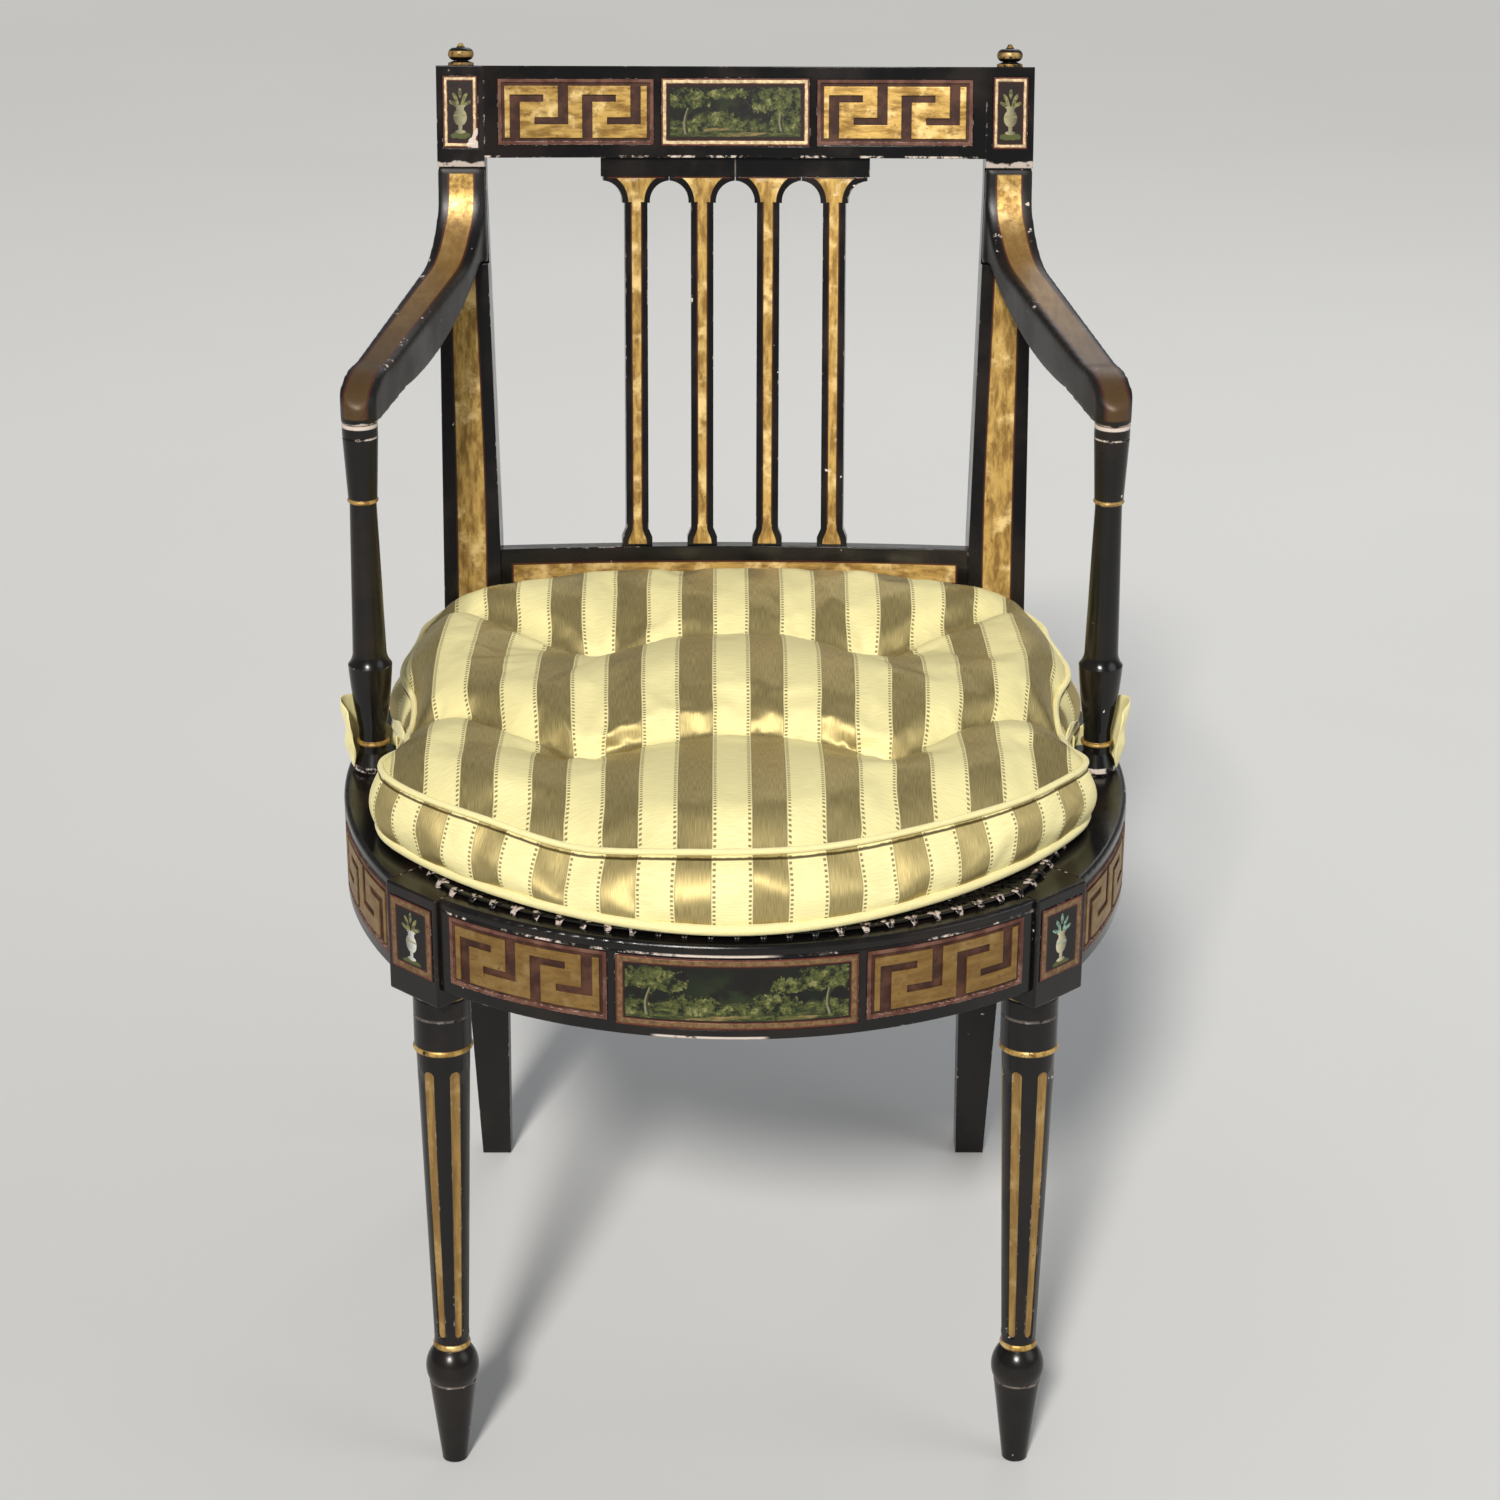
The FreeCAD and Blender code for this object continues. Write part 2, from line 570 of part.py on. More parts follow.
def flute_cutters():
    top_z = BLOCK_LOW - LEG_COLLAR - LEG_DRUM - LEG_RING - FLUTE_TOP_GAP
    low_z = LEG_ANKLE_TOP + FLUTE_LOW_GAP
    top = Vec(LEG_SHAFT_TOP_R + FLUTE_R - FLUTE_DEPTH, 0, top_z)
    low = Vec(LEG_SHAFT_LOW_R + FLUTE_R - FLUTE_DEPTH, 0, low_z)
    run = top - low
    cutter = Part.makeCylinder(FLUTE_R, run.Length, low, run)
    cutter = cutter.fuse(Part.makeSphere(FLUTE_R, top)).fuse(Part.makeSphere(FLUTE_R, low))
    cutters = []
    for index in range(FLUTES):
        turned = cutter.copy()
        turned.rotate(Vec(0, 0, 0), Vec(0, 0, 1), index * 360.0 / FLUTES)
        cutters.append(turned)
    return cutters


leg = leg_turning()
for cutter in flute_cutters():
    leg = leg.cut(cutter)
leg = rake_leg(leg).common(box((-FAR, FAR), (-FAR, FAR), (0, BLOCK_LOW)))
keep_pair("front_leg", leg.fuse(leg_tenon(LEG_TENON_R, LEG_TENON_LENGTH)))

block_middle = PANEL_HIGH - PICTURE_HEIGHT / 2
picture, pocket = flat_panel(0.0, -BLOCK_SIZE / 2, (block_middle - BLOCK_PICTURE_HEIGHT / 2,
                             block_middle + BLOCK_PICTURE_HEIGHT / 2), BLOCK_PICTURE_WIDTH / 2)
keep_pair("block_picture_panel", to_block(picture))
right_block = right_block.cut(to_block(pocket)).cut(leg_tenon(LEG_TENON_R + FIT, LEG_TENON_LENGTH + FIT))
keep_pair("front_leg_block", right_block)


# Rear legs and stiles
def back_along(z):
    """Height above the floor, on the stiles' face, as a height along the stiles from the seat."""
    return (z - SEAT_TOP) / math.cos(RAKE)


def stile_blank():
    """Right-hand rear leg: its side outline and its front outline, both carried through."""
    top_z = SEAT_TOP + STILE_TOP * math.cos(RAKE)
    top_y = stile_y(top_z)
    half = REAR_FOOT_SIZE / 2
    front_foot = REAR_FOOT_Y - half
    back_foot = REAR_FOOT_Y + half
    back_y = BACK_Y + STILE_DEPTH_LOW
    side = prism([((BACK_Y + front_foot) / 2 - REAR_LEG_SWEEP, RAIL_LOW / 2, front_foot, 0),
                  (back_foot, 0),
                  ((back_y + back_foot) / 2 - REAR_LEG_SWEEP, RAIL_LOW / 2, back_y, RAIL_LOW),
                  (back_y, SEAT_TOP),
                  (top_y + STILE_DEPTH_TOP * math.cos(RAKE), top_z - STILE_DEPTH_TOP * math.sin(RAKE)),
                  (top_y, top_z), (BACK_Y, SEAT_TOP), (BACK_Y, RAIL_LOW)],
                 lambda y, z: Vec(0, y, z), Vec(FAR, 0, 0))
    taper_top = SEAT_TOP + (CREST_LOW - CREST_THICK) * math.cos(RAKE)
    taper_low = SEAT_TOP + (LOWER_RAIL_LOW + LOWER_RAIL_HEIGHT) * math.cos(RAKE)
    front = prism([(REAR_FOOT_X - half, 0), (REAR_FOOT_X + half, 0),
                   (STILE_OUTER, RAIL_LOW), (STILE_OUTER, top_z), (STILE_INNER_TOP, top_z),
                   (STILE_INNER_TOP, taper_top), (STILE_INNER_LOW, taper_low), (STILE_INNER_LOW, RAIL_LOW)],
                  lambda x, z: Vec(x, 0, z), Vec(0, FAR, 0))
    return side.common(front)


def back_box(x, depth, along):
    """Box in terms of the back: depth behind the stiles' face and height along the stiles."""
    return lean(box(x, (BACK_Y + depth[0], BACK_Y + depth[1]), (SEAT_TOP + along[0], SEAT_TOP + along[1])))


def back_tenon(inner, length, thick, along, grow):
    """Tenon of a rail of the back in the right-hand stile."""
    depth = (thick - BACK_TENON_THICK) / 2
    return back_box((inner - BACK_TENON_SHOULDER, inner + length + grow),
                    (depth - grow, depth + BACK_TENON_THICK + grow),
                    (along[0] + BACK_TENON_SHOULDER - grow, along[1] - BACK_TENON_SHOULDER + grow))


def crest_tenon(grow):
    return back_tenon(STILE_INNER_TOP, CREST_TENON_LENGTH, CREST_THICK, (CREST_LOW, STILE_TOP), grow)


def lower_tenon(grow):
    high = LOWER_RAIL_LOW + LOWER_RAIL_HEIGHT
    return back_tenon(STILE_INNER_LOW, RAIL_TENON_LENGTH, LOWER_RAIL_THICK, (LOWER_RAIL_LOW, high), grow)


def finial():
    """Turned knob on the stile's top, with its tenon."""
    points = [(0, -FINIAL_TENON_LENGTH), (FINIAL_TENON_R, -FINIAL_TENON_LENGTH), (FINIAL_TENON_R, 0),
              (FINIAL_R, 0), (FINIAL_R, FINIAL_DISC), (FINIAL_NECK_R, FINIAL_NECK),
              (FINIAL_R, FINIAL_KNOB, FINIAL_TIP_R, FINIAL_TIP),
              (FINIAL_FLAT_R, FINIAL_HEIGHT), (0, FINIAL_HEIGHT)]
    shape = lathe(points)
    shape.translate(Vec(STILE_MIDDLE, BACK_Y + STILE_DEPTH_TOP / 2, SEAT_TOP + STILE_TOP))
    return lean(shape)


def finial_hole():
    top = SEAT_TOP + STILE_TOP
    hole = rod(FINIAL_TENON_R + FIT, top - FINIAL_TENON_LENGTH - FIT, top + FIT,
               STILE_MIDDLE, BACK_Y + STILE_DEPTH_TOP / 2)
    return lean(hole)


def screw_along():
    return (back_along(ARM_STILE_LOW) + TONGUE_TOP) / 2


def stile_depth(along):
    """Depth of a stile square to its face."""
    low = STILE_DEPTH_LOW * math.cos(RAKE)
    return low + (STILE_DEPTH_TOP - low) * along / STILE_TOP


def arm_screw(grow, head_rise):
    """Screw through a stile from behind into its arm, with a flat head let into the stile's back."""
    z = SEAT_TOP + screw_along()
    head_seat = stile_depth(screw_along()) - 2 * SCREW_HEAD
    point = Vec(STILE_MIDDLE, BACK_Y - SCREW_POINT, z)
    seat = Vec(STILE_MIDDLE, BACK_Y + head_seat, z)
    backward = Vec(0, 1, 0)
    shank = Part.makeCylinder(SCREW_R + grow, SCREW_POINT + head_seat, point, backward)
    head = Part.makeCylinder(SCREW_HEAD_R + grow, SCREW_HEAD + head_rise, seat, backward)
    return lean(shank.fuse(head))


blank = stile_blank()
housing = back_box((0, FAR), (0, TONGUE_DEPTH), (back_along(ARM_STILE_LOW), TONGUE_TOP))
screw_hole = arm_screw(FIT, SCREW_HEAD * 4)
picture_middle = (CREST_LOW + STILE_TOP) / 2
picture, pocket = flat_panel(STILE_MIDDLE, BACK_Y, (SEAT_TOP + picture_middle - STILE_PICTURE_HEIGHT / 2,
                             SEAT_TOP + picture_middle + STILE_PICTURE_HEIGHT / 2), STILE_PICTURE_WIDTH / 2)
keep_pair("stile_picture_panel", lean(picture))
stile = blank.cut(housing).cut(screw_hole).cut(lean(pocket)).cut(finial_hole())
for mortise in (side_tenon(FIT), rear_tenon(FIT), crest_tenon(FIT), lower_tenon(FIT)):
    stile = stile.cut(mortise)
keep_pair("rear_leg", stile)
keep_pair("finial", finial())
screw = arm_screw(0.0, 0.0)
keep("arm_screws", Part.makeCompound([screw, mirrored(screw)]))


# Crest rail, lower back rail and splat
def bowed_bar(setback, thick, half_length, along):
    """Bar on the bow of the back, cut square to X at both ends, before it is leaned."""
    sweep = math.degrees(2 * half_length / BOW_R)
    radii = (BOW_R + setback, BOW_R + setback + thick)
    bar = sector(BOW_CENTRE, 1, radii, (-sweep, sweep), (SEAT_TOP + along[0], SEAT_TOP + along[1]))
    return bar.common(box((-half_length, half_length), (-FAR, FAR), (0, 2 * FAR)))


def both_ends(bar, tenon):
    """Add a tenon at each end of a leaned bar."""
    return bar.fuse(tenon).fuse(mirrored(tenon))


def to_bow(shape, across):
    """Turn a shape from the middle of the back to a place along the bow."""
    turned = shape.copy()
    turned.rotate(Vec(BOW_CENTRE[0], BOW_CENTRE[1], 0), Vec(0, 0, 1), -math.degrees(across / BOW_R))
    return turned


def column_blank():
    """Flat column in the middle of the back: a flared foot, a straight shaft and a flared capital."""
    foot = SEAT_TOP + LOWER_RAIL_LOW + LOWER_RAIL_HEIGHT
    head = SEAT_TOP + CREST_LOW - HEAD_HEIGHT
    spring = head - CAPITAL_HEIGHT
    lip = head - CAPITAL_LIP
    wide = SPLAT_PITCH / 2 - FIT
    ledge = SHAFT_HALF + CAPITAL_STEP
    foot_top = foot + COLUMN_FOOT_HEIGHT
    foot_step = foot + COLUMN_FOOT_HEIGHT / 2
    arch = math.sqrt(0.5)
    arch_x = wide - (wide - ledge) * arch
    arch_z = spring + (lip - spring) * arch
    right = [(COLUMN_FOOT_HALF, foot), (COLUMN_FOOT_HALF, foot_step), (SHAFT_HALF, foot_top),
             (SHAFT_HALF, spring), (ledge, spring), (arch_x, arch_z, wide, lip), (wide, head)]
    left = [(-wide, head), (-wide, lip), (-arch_x, arch_z, -ledge, spring), (-SHAFT_HALF, spring),
            (-SHAFT_HALF, foot_top), (-COLUMN_FOOT_HALF, foot_step), (-COLUMN_FOOT_HALF, foot)]
    face = BACK_Y + BOW_SAG + SPLAT_SETBACK
    body = prism(right + left, lambda x, z: Vec(x, face, z), Vec(0, SPLAT_THICK, 0))
    return body.fuse(column_tenon(foot, -1, 0.0)).fuse(column_tenon(head, 1, 0.0))


def column_tenon(z, up, grow):
    """Small tenon at the foot or the head of a column in the middle of the back."""
    face = BACK_Y + BOW_SAG + SPLAT_SETBACK
    half = SHAFT_HALF / 2 + grow
    heights = sorted((z, z + up * (COLUMN_TENON + grow)))
    edge = SPLAT_THICK / 4 - grow
    return box((-half, half), (face + edge, face + SPLAT_THICK - edge), heights)


def head_dowel(across, radius, length):
    z = SEAT_TOP + CREST_LOW
    middle_y = BACK_Y + BOW_SAG + SPLAT_SETBACK + SPLAT_THICK / 2
    return lean(to_bow(rod(radius, z - length / 2, z + length / 2, 0.0, middle_y), across))


crest = bowed_bar(0.0, CREST_THICK, STILE_INNER_TOP, (CREST_LOW, STILE_TOP))
crest_middle = SEAT_TOP + (CREST_LOW + STILE_TOP) / 2
picture, pocket = curved_panel(BOW_CENTRE, 1, BOW_R, -1, (-CREST_PICTURE_HALF, CREST_PICTURE_HALF),
                               (crest_middle - PICTURE_HEIGHT / 2, crest_middle + PICTURE_HEIGHT / 2))
keep("crest_picture_panel", lean(picture))
crest = crest.cut(pocket)
right_start = CREST_PICTURE_HALF + PANEL_GAP
for name, start in (("right", right_start), ("left", -right_start - KEY_WIDTH)):
    panel, pocket = key_panel(BOW_CENTRE, 1, BOW_R, -1, start, crest_middle - KEY_HEIGHT / 2)
    keep("crest_key_panel_" + name, lean(panel))
    crest = crest.cut(pocket)
crest = both_ends(lean(crest), crest_tenon(0.0))

lower_high = LOWER_RAIL_LOW + LOWER_RAIL_HEIGHT
lower = bowed_bar(0.0, LOWER_RAIL_THICK, STILE_INNER_LOW, (LOWER_RAIL_LOW, lower_high))
head_half = 2 * SPLAT_PITCH + HEAD_END
head = bowed_bar(SPLAT_SETBACK, SPLAT_THICK, head_half, (CREST_LOW - HEAD_HEIGHT, CREST_LOW))
for index, place in enumerate((-1.5, -0.5, 0.5, 1.5)):
    across = place * SPLAT_PITCH
    keep("splat_column_%d" % (index + 1), lean(to_bow(column_blank(), across)))
    lower = lower.cut(to_bow(column_tenon(SEAT_TOP + lower_high, -1, FIT), across))
    head = head.cut(to_bow(column_tenon(SEAT_TOP + CREST_LOW - HEAD_HEIGHT, 1, FIT), across))
lower = both_ends(lean(lower), lower_tenon(0.0))
head = lean(head)
head_dowels = []
for across in (-SPLAT_PITCH, SPLAT_PITCH):
    head_dowels.append(head_dowel(across, HEAD_DOWEL_R, HEAD_DOWEL_LENGTH))
    hole = head_dowel(across, HEAD_DOWEL_R + FIT, HEAD_DOWEL_LENGTH + 2 * FIT)
    head = head.cut(hole)
    crest = crest.cut(hole)
keep("crest_rail", crest)
keep("lower_back_rail", lower)
keep("splat_head_rail", head)
keep("head_rail_dowels", Part.makeCompound(head_dowels))


# Arms and arm posts
def arm_body():
    """Right-hand arm: its side outline and its plan, both carried through, in front of the stile."""
    half = ARM_WIDTH / 2
    nose = POST_Y - half
    stile_top = (stile_y(ARM_STILE_TOP), ARM_STILE_TOP)
    stile_low = (stile_y(ARM_STILE_LOW), ARM_STILE_LOW)
    under_front = POST_Y + ARM_UNDER_RUN
    under_middle = (under_front + stile_low[0]) / 2
    side = prism([(nose, ARM_JOINT), (POST_Y + half, ARM_JOINT), (under_front, ARM_UNDER_FRONT),
                  (under_middle, ARM_UNDER_MIDDLE, *stile_low),
                  (FAR, ARM_STILE_LOW), (FAR, ARM_STILE_TOP), stile_top,
                  (stile_top[0] - ARM_SWEEP_INSET, ARM_SWEEP_TOP, stile_top[0] - ARM_SWEEP_RUN, ARM_REAR_TOP),
                  (POST_Y + ARM_BEND_RUN, ARM_FRONT_TOP),
                  (nose + ARM_NOSE_INSET, ARM_NOSE_TOP, nose, ARM_JOINT + half)],
                 lambda y, z: Vec(0, y, z), Vec(FAR, 0, 0))
    rear_y = stile_top[0]
    plan = prism([(POST_X, nose, POST_X + half, POST_Y), (STILE_OUTER, rear_y), (STILE_OUTER, FAR),
                  (STILE_INNER_TOP, FAR), (STILE_INNER_TOP, rear_y), (POST_X - half, POST_Y)],
                 lambda x, y: Vec(x, y, 0), Vec(0, 0, 2 * FAR))
    body = side.common(plan).cut(back_box((0, FAR), (0, 2 * FAR), (-FAR, FAR)))
    return rounded(body, ARM_ROUND, 4 * ARM_WIDTH)


def post():
    """Turned post with a tenon at each end."""
    drum_low = ARM_JOINT - POST_DRUM
    points = [(0, SEAT_TOP - POST_TENON_LENGTH), (POST_TENON_R, SEAT_TOP - POST_TENON_LENGTH),
              (POST_TENON_R, SEAT_TOP), (POST_COLLAR_R, SEAT_TOP), (POST_COLLAR_R, SEAT_TOP + POST_COLLAR)]
    ring = SEAT_TOP + POST_RING
    points += [(POST_WAIST_R, SEAT_TOP + POST_WAIST), (POST_WAIST_R, ring - POST_RING_HALF)]
    points += [(POST_RING_R, ring, POST_WAIST_R, ring + POST_RING_HALF)]
    points += [(POST_WAIST_R, SEAT_TOP + POST_VASE_LOW)]
    vase_middle = (POST_VASE_LOW + POST_VASE_HIGH) / 2
    points += [((POST_WAIST_R + POST_VASE_R) / 2 + POST_SWELL, SEAT_TOP + vase_middle,
                POST_VASE_R, SEAT_TOP + POST_VASE_HIGH)]
    points += [(POST_SHAFT_LOW_R + POST_SWELL, SEAT_TOP + (POST_VASE_HIGH + POST_SHAFT_LOW) / 2,
                POST_SHAFT_LOW_R, SEAT_TOP + POST_SHAFT_LOW)]
    upper_ring = drum_low - POST_RING_HALF
    points += [(POST_SHAFT_TOP_R, upper_ring - POST_RING_HALF)]
    points += [(POST_UPPER_RING_R, upper_ring, POST_SHAFT_TOP_R, drum_low)]
    points += [(POST_DRUM_LOW_R, drum_low), (POST_DRUM_TOP_R, ARM_JOINT - POST_DRUM_LINE - LINE_DEPTH)]
    points += list(reversed(incised(POST_DRUM_TOP_R, ARM_JOINT - POST_DRUM_LINE)))[1:]
    tip = ARM_JOINT + ARM_TENON_LENGTH
    points += [(POST_DRUM_TOP_R, ARM_JOINT), (ARM_TENON_R, ARM_JOINT), (ARM_TENON_R, tip), (0, tip)]
    shape = lathe(points)
    shape.translate(Vec(POST_X, POST_Y, 0))
    return shape


tenon_hole = rod(ARM_TENON_R + FIT, ARM_JOINT, ARM_JOINT + ARM_TENON_LENGTH + FIT, POST_X, POST_Y)
arm = arm_body().fuse(blank.common(housing)).cut(tenon_hole).cut(screw_hole)
keep_pair("arm", arm)
keep_pair("arm_post", post())


# Cane seat
def cane_plate(grow, low, high):
    """Plate out to the row of cane holes, grown or shrunk, and kept clear of the stiles."""
    plate = plan_plate(rod, FRONT_BOW - CANE_INSET + grow,
                       SEAT_HALF_WIDTH - SIDE_RAIL_WIDTH + CANE_BEARING + grow,
                       STILE_INNER_LOW + CANE_BEARING + grow, BACK_Y + CANE_BEARING + grow, low, high)
    clear = box((STILE_INNER_LOW - STILE_CLEAR, FAR), (BACK_Y - STILE_CLEAR, FAR), (low, high))
    return plate.cut(clear).cut(mirrored(clear))


def in_opening(x, y, margin):
    """Whether a gap at (x, y) lies inside the seat opening by the margin."""
    centre_x, radius = side_circle(SEAT_HALF_WIDTH - SIDE_RAIL_WIDTH, STILE_INNER_LOW)
    in_front = math.hypot(x, y) < FRONT_BOW - FRONT_RAIL_WIDTH - margin
    in_side = math.hypot(abs(x) - centre_x, y - WIDEST_Y) < radius - margin
    return in_front and in_side and y < BACK_Y - margin


def octagon(x, y, z):
    radius = CANE_GAP / 2 / math.cos(math.pi / 8)
    corners = []
    for index in range(9):
        turn = math.pi / 8 + index * math.pi / 4
        corners.append(Vec(x + radius * math.cos(turn), y + radius * math.sin(turn), z))
    return Part.makePolygon(corners)


plate = cane_plate(BINDING_WIDTH / 2, SEAT_TOP, CANE_TOP)
under_side = min(plate.Faces, key=lambda face: face.CenterOfMass.z)
gaps = []
reach = int(SEAT_HALF_WIDTH // CANE_PITCH) + 1
for column in range(-reach, reach + 1):
    for row in range(-reach, reach + 1):
        x = column * CANE_PITCH
        y = row * CANE_PITCH + WIDEST_Y
        if in_opening(x, y, CANE_GAP / 2 + CANE_MARGIN):
            gaps.append(octagon(x, y, SEAT_TOP))
net = Part.makeFace([under_side.OuterWire] + gaps, "Part::FaceMakerBullseye")
keep("cane_seat", net.extrude(Vec(0, 0, CANE_THICK)))
binding = cane_plate(BINDING_WIDTH / 2, CANE_TOP, CANE_TOP + BINDING_THICK)
keep("cane_binding", binding.cut(cane_plate(-BINDING_WIDTH / 2, CANE_TOP, CANE_TOP + BINDING_THICK)))
print("gaps in the cane:", len(gaps))


# Cushion and ties
def circles_meet(radius, centre_x, centre_y, side_r):
    """Front corner of the cushion: where a circle about the seat centre meets the right side's circle."""
    distance = math.hypot(centre_x, centre_y)
    along = (radius ** 2 - side_r ** 2 + distance ** 2) / (2 * distance)
    off = math.sqrt(radius ** 2 - along ** 2)
    unit = (centre_x / distance, centre_y / distance)
    points = []
    for way in (1, -1):
        x = along * unit[0] - way * off * unit[1]
        y = along * unit[1] + way * off * unit[0]
        points.append((x, y))
    return min(points, key=lambda point: point[1])


def cushion_section(inset, z):
    """Level section of the cushion, drawn in by inset, with a bow between the stiles."""
    front_r = FRONT_BOW - CUSHION_FRONT_INSET - inset
    half_width = SEAT_HALF_WIDTH - CUSHION_SIDE_INSET
    centre_x, full_r = side_circle(half_width, STILE_OUTER + CUSHION_REAR_OVERHANG)
    side_r = full_r - inset
    front_corner = circles_meet(front_r, centre_x, WIDEST_Y, side_r)
    rear_y = stile_y(min(z, CUSHION_LOW + BOXING_HEIGHT)) - CUSHION_BACK_GAP - REAR_RUN_SHARE * inset
    rear_x = centre_x + math.sqrt(side_r ** 2 - (rear_y - WIDEST_Y) ** 2)
    mid_y = (front_corner[1] + rear_y) / 2
    mid_x = centre_x + math.sqrt(side_r ** 2 - (mid_y - WIDEST_Y) ** 2)
    bow_x = rear_x * STILE_INNER_LOW / STILE_OUTER - CUSHION_BACK_GAP
    rear_middle = rear_y + bow_x ** 2 / (2 * BOW_R)
    points = [(0, -front_r, front_corner[0], front_corner[1]), (mid_x, mid_y, rear_x, rear_y),
              (bow_x, rear_y), (0, rear_middle, -bow_x, rear_y), (-rear_x, rear_y),
              (-mid_x, mid_y, -front_corner[0], front_corner[1])]
    return wire(points, lambda x, y: Vec(x, y, z))


def cushion_body():
    """Boxed sides that bulge between two seams, and a crown that rises from the upper seam."""
    sections = [(BOXING_BULGE / 2, 0.0), (0.0, LOWER_SEAM), (0.0, (LOWER_SEAM + BOXING_HEIGHT) / 2),
                (BOXING_BULGE, BOXING_HEIGHT)]
    loft_rise = CROWN_HEIGHT + CROWN_SPARE
    for step in range(1, CROWN_STEPS + 1):
        share = step / CROWN_STEPS
        inset = BOXING_BULGE + CROWN_RUN * share
        sections.append((inset, BOXING_HEIGHT + loft_rise * math.sin(share * math.pi / 2)))
    wires = [cushion_section(inset, CUSHION_LOW + height) for inset, height in sections]
    return Part.makeLoft(wires, True, True)


def tuft_cutter(x, y):
    """Funnel that narrows to the button's place."""
    low = CROWN_TOP - TUFT_DEPTH
    high = CROWN_TOP + TUFT_DEPTH
    shape = lathe([(0, low), (TUFT_BUTTON_R, low), (TUFT_SLOPE_R, CROWN_TOP - TUFT_SLOPE, TUFT_R, CROWN_TOP),
                   (TUFT_R, high), (0, high)])
    shape.translate(Vec(x, y, 0))
    return shape


def crown_cutter():
    """All above the crown's outline, from front to back: a low terrace, a fold, a swelling, a fold and the rear."""
    seam = CROWN_TOP - CROWN_HEIGHT
    rear_fold = CROWN_HEIGHT - REAR_FOLD_DROP
    outline = [(-FAR, TERRACE_FRONT), (FRONT_FOLD_Y, TERRACE_REAR),
               (FRONT_FOLD_Y + FOLD_RUN, TERRACE_REAR + FOLD_RISE, MIDDLE_Y, CROWN_HEIGHT),
               ((MIDDLE_Y + REAR_FOLD_Y) / 2, CROWN_HEIGHT - MIDDLE_DROP, REAR_FOLD_Y, rear_fold),
               (REAR_FOLD_Y + FOLD_RUN, rear_fold + REAR_RISE, REAR_CROWN_Y, CROWN_HEIGHT),
               (FAR, CROWN_HEIGHT), (FAR, FAR), (-FAR, FAR)]
    return prism(outline, lambda y, z: Vec(-FAR, y, seam + z), Vec(2 * FAR, 0, 0))


cushion = cushion_body().cut(crown_cutter())
for x, y in ((TUFT_FRONT_X, TUFT_FRONT_Y), (TUFT_REAR_X, TUFT_REAR_Y)):
    for side in (1, -1):
        cushion = cushion.cut(tuft_cutter(side * x, y))
for side in (1, -1):
    cushion = cushion.cut(rod(NOTCH_R, CUSHION_LOW - SOFT_GAP, CROWN_TOP + CROWN_SPARE, side * POST_X, POST_Y))
keep("seat_cushion", cushion)


def cushion_tie():
    """Loop of ribbon round the right-hand post, with a tab to the cushion and a knot outside."""
    low = SEAT_TOP + TIE_HEIGHT
    high = low + TIE_WIDTH
    loop = rod(TIE_R + TIE_THICK, low, high).cut(rod(TIE_R, low, high))
    tab = box((-NOTCH_R, -TIE_R - TIE_THICK / 2), (-TIE_TAB_HALF, TIE_TAB_HALF), (low, high))
    tab = tab.common(rod(NOTCH_R - SOFT_GAP, low, high))
    knot = Part.makeSphere(KNOT_R, Vec(TIE_R + TIE_THICK, 0, (low + high) / 2))
    knot = knot.cut(rod(TIE_R, low - KNOT_R, high + KNOT_R))
    shape = loop.fuse(tab).fuse(knot)
    shape.translate(Vec(POST_X, POST_Y, 0))
    return shape


keep_pair("cushion_tie", cushion_tie())

# The origin is put below the middle of the chair, between the front rail's panels and the crest's back.
front_reach = -FRONT_BOW - PANEL_PROUD
back_reach = BACK_Y + (BOW_SAG + CREST_THICK) * math.cos(RAKE) + STILE_TOP * math.sin(RAKE)
to_middle = Vec(0, -(front_reach + back_reach) / 2, 0)
print("moved to the middle by", round(to_middle.y, 3))
for name, shape in sorted(parts.items()):
    shape.translate(to_middle)
    shape.exportStep("parts/" + name + ".step")
    print(name, len(shape.Solids), round(shape.Volume / 1000.0, 1), "cm3", shape.isValid())
whole = Part.makeCompound(list(parts.values())).optimalBoundingBox()
print("box from", round(whole.XMin, 1), round(whole.YMin, 1), round(whole.ZMin, 1),
      "to", round(whole.XMax, 1), round(whole.YMax, 1), round(whole.ZMax, 1))
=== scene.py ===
import math
import bpy
import numpy as np
from mathutils import Matrix, Vector, geometry


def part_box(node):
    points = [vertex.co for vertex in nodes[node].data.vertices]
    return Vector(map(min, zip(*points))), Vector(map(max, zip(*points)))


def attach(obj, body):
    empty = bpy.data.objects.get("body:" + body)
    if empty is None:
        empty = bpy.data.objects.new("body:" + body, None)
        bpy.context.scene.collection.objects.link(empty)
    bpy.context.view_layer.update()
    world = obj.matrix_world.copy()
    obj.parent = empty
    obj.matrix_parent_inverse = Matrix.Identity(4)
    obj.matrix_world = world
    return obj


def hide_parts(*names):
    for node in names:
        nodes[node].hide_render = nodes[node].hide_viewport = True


# Looks for an ebonised and gilt elbow chair with a cane seat and a tied cushion.
# Sizes below are in millimetres, in the frame of the CAD model; meshes are made in metres.
MM = 0.001

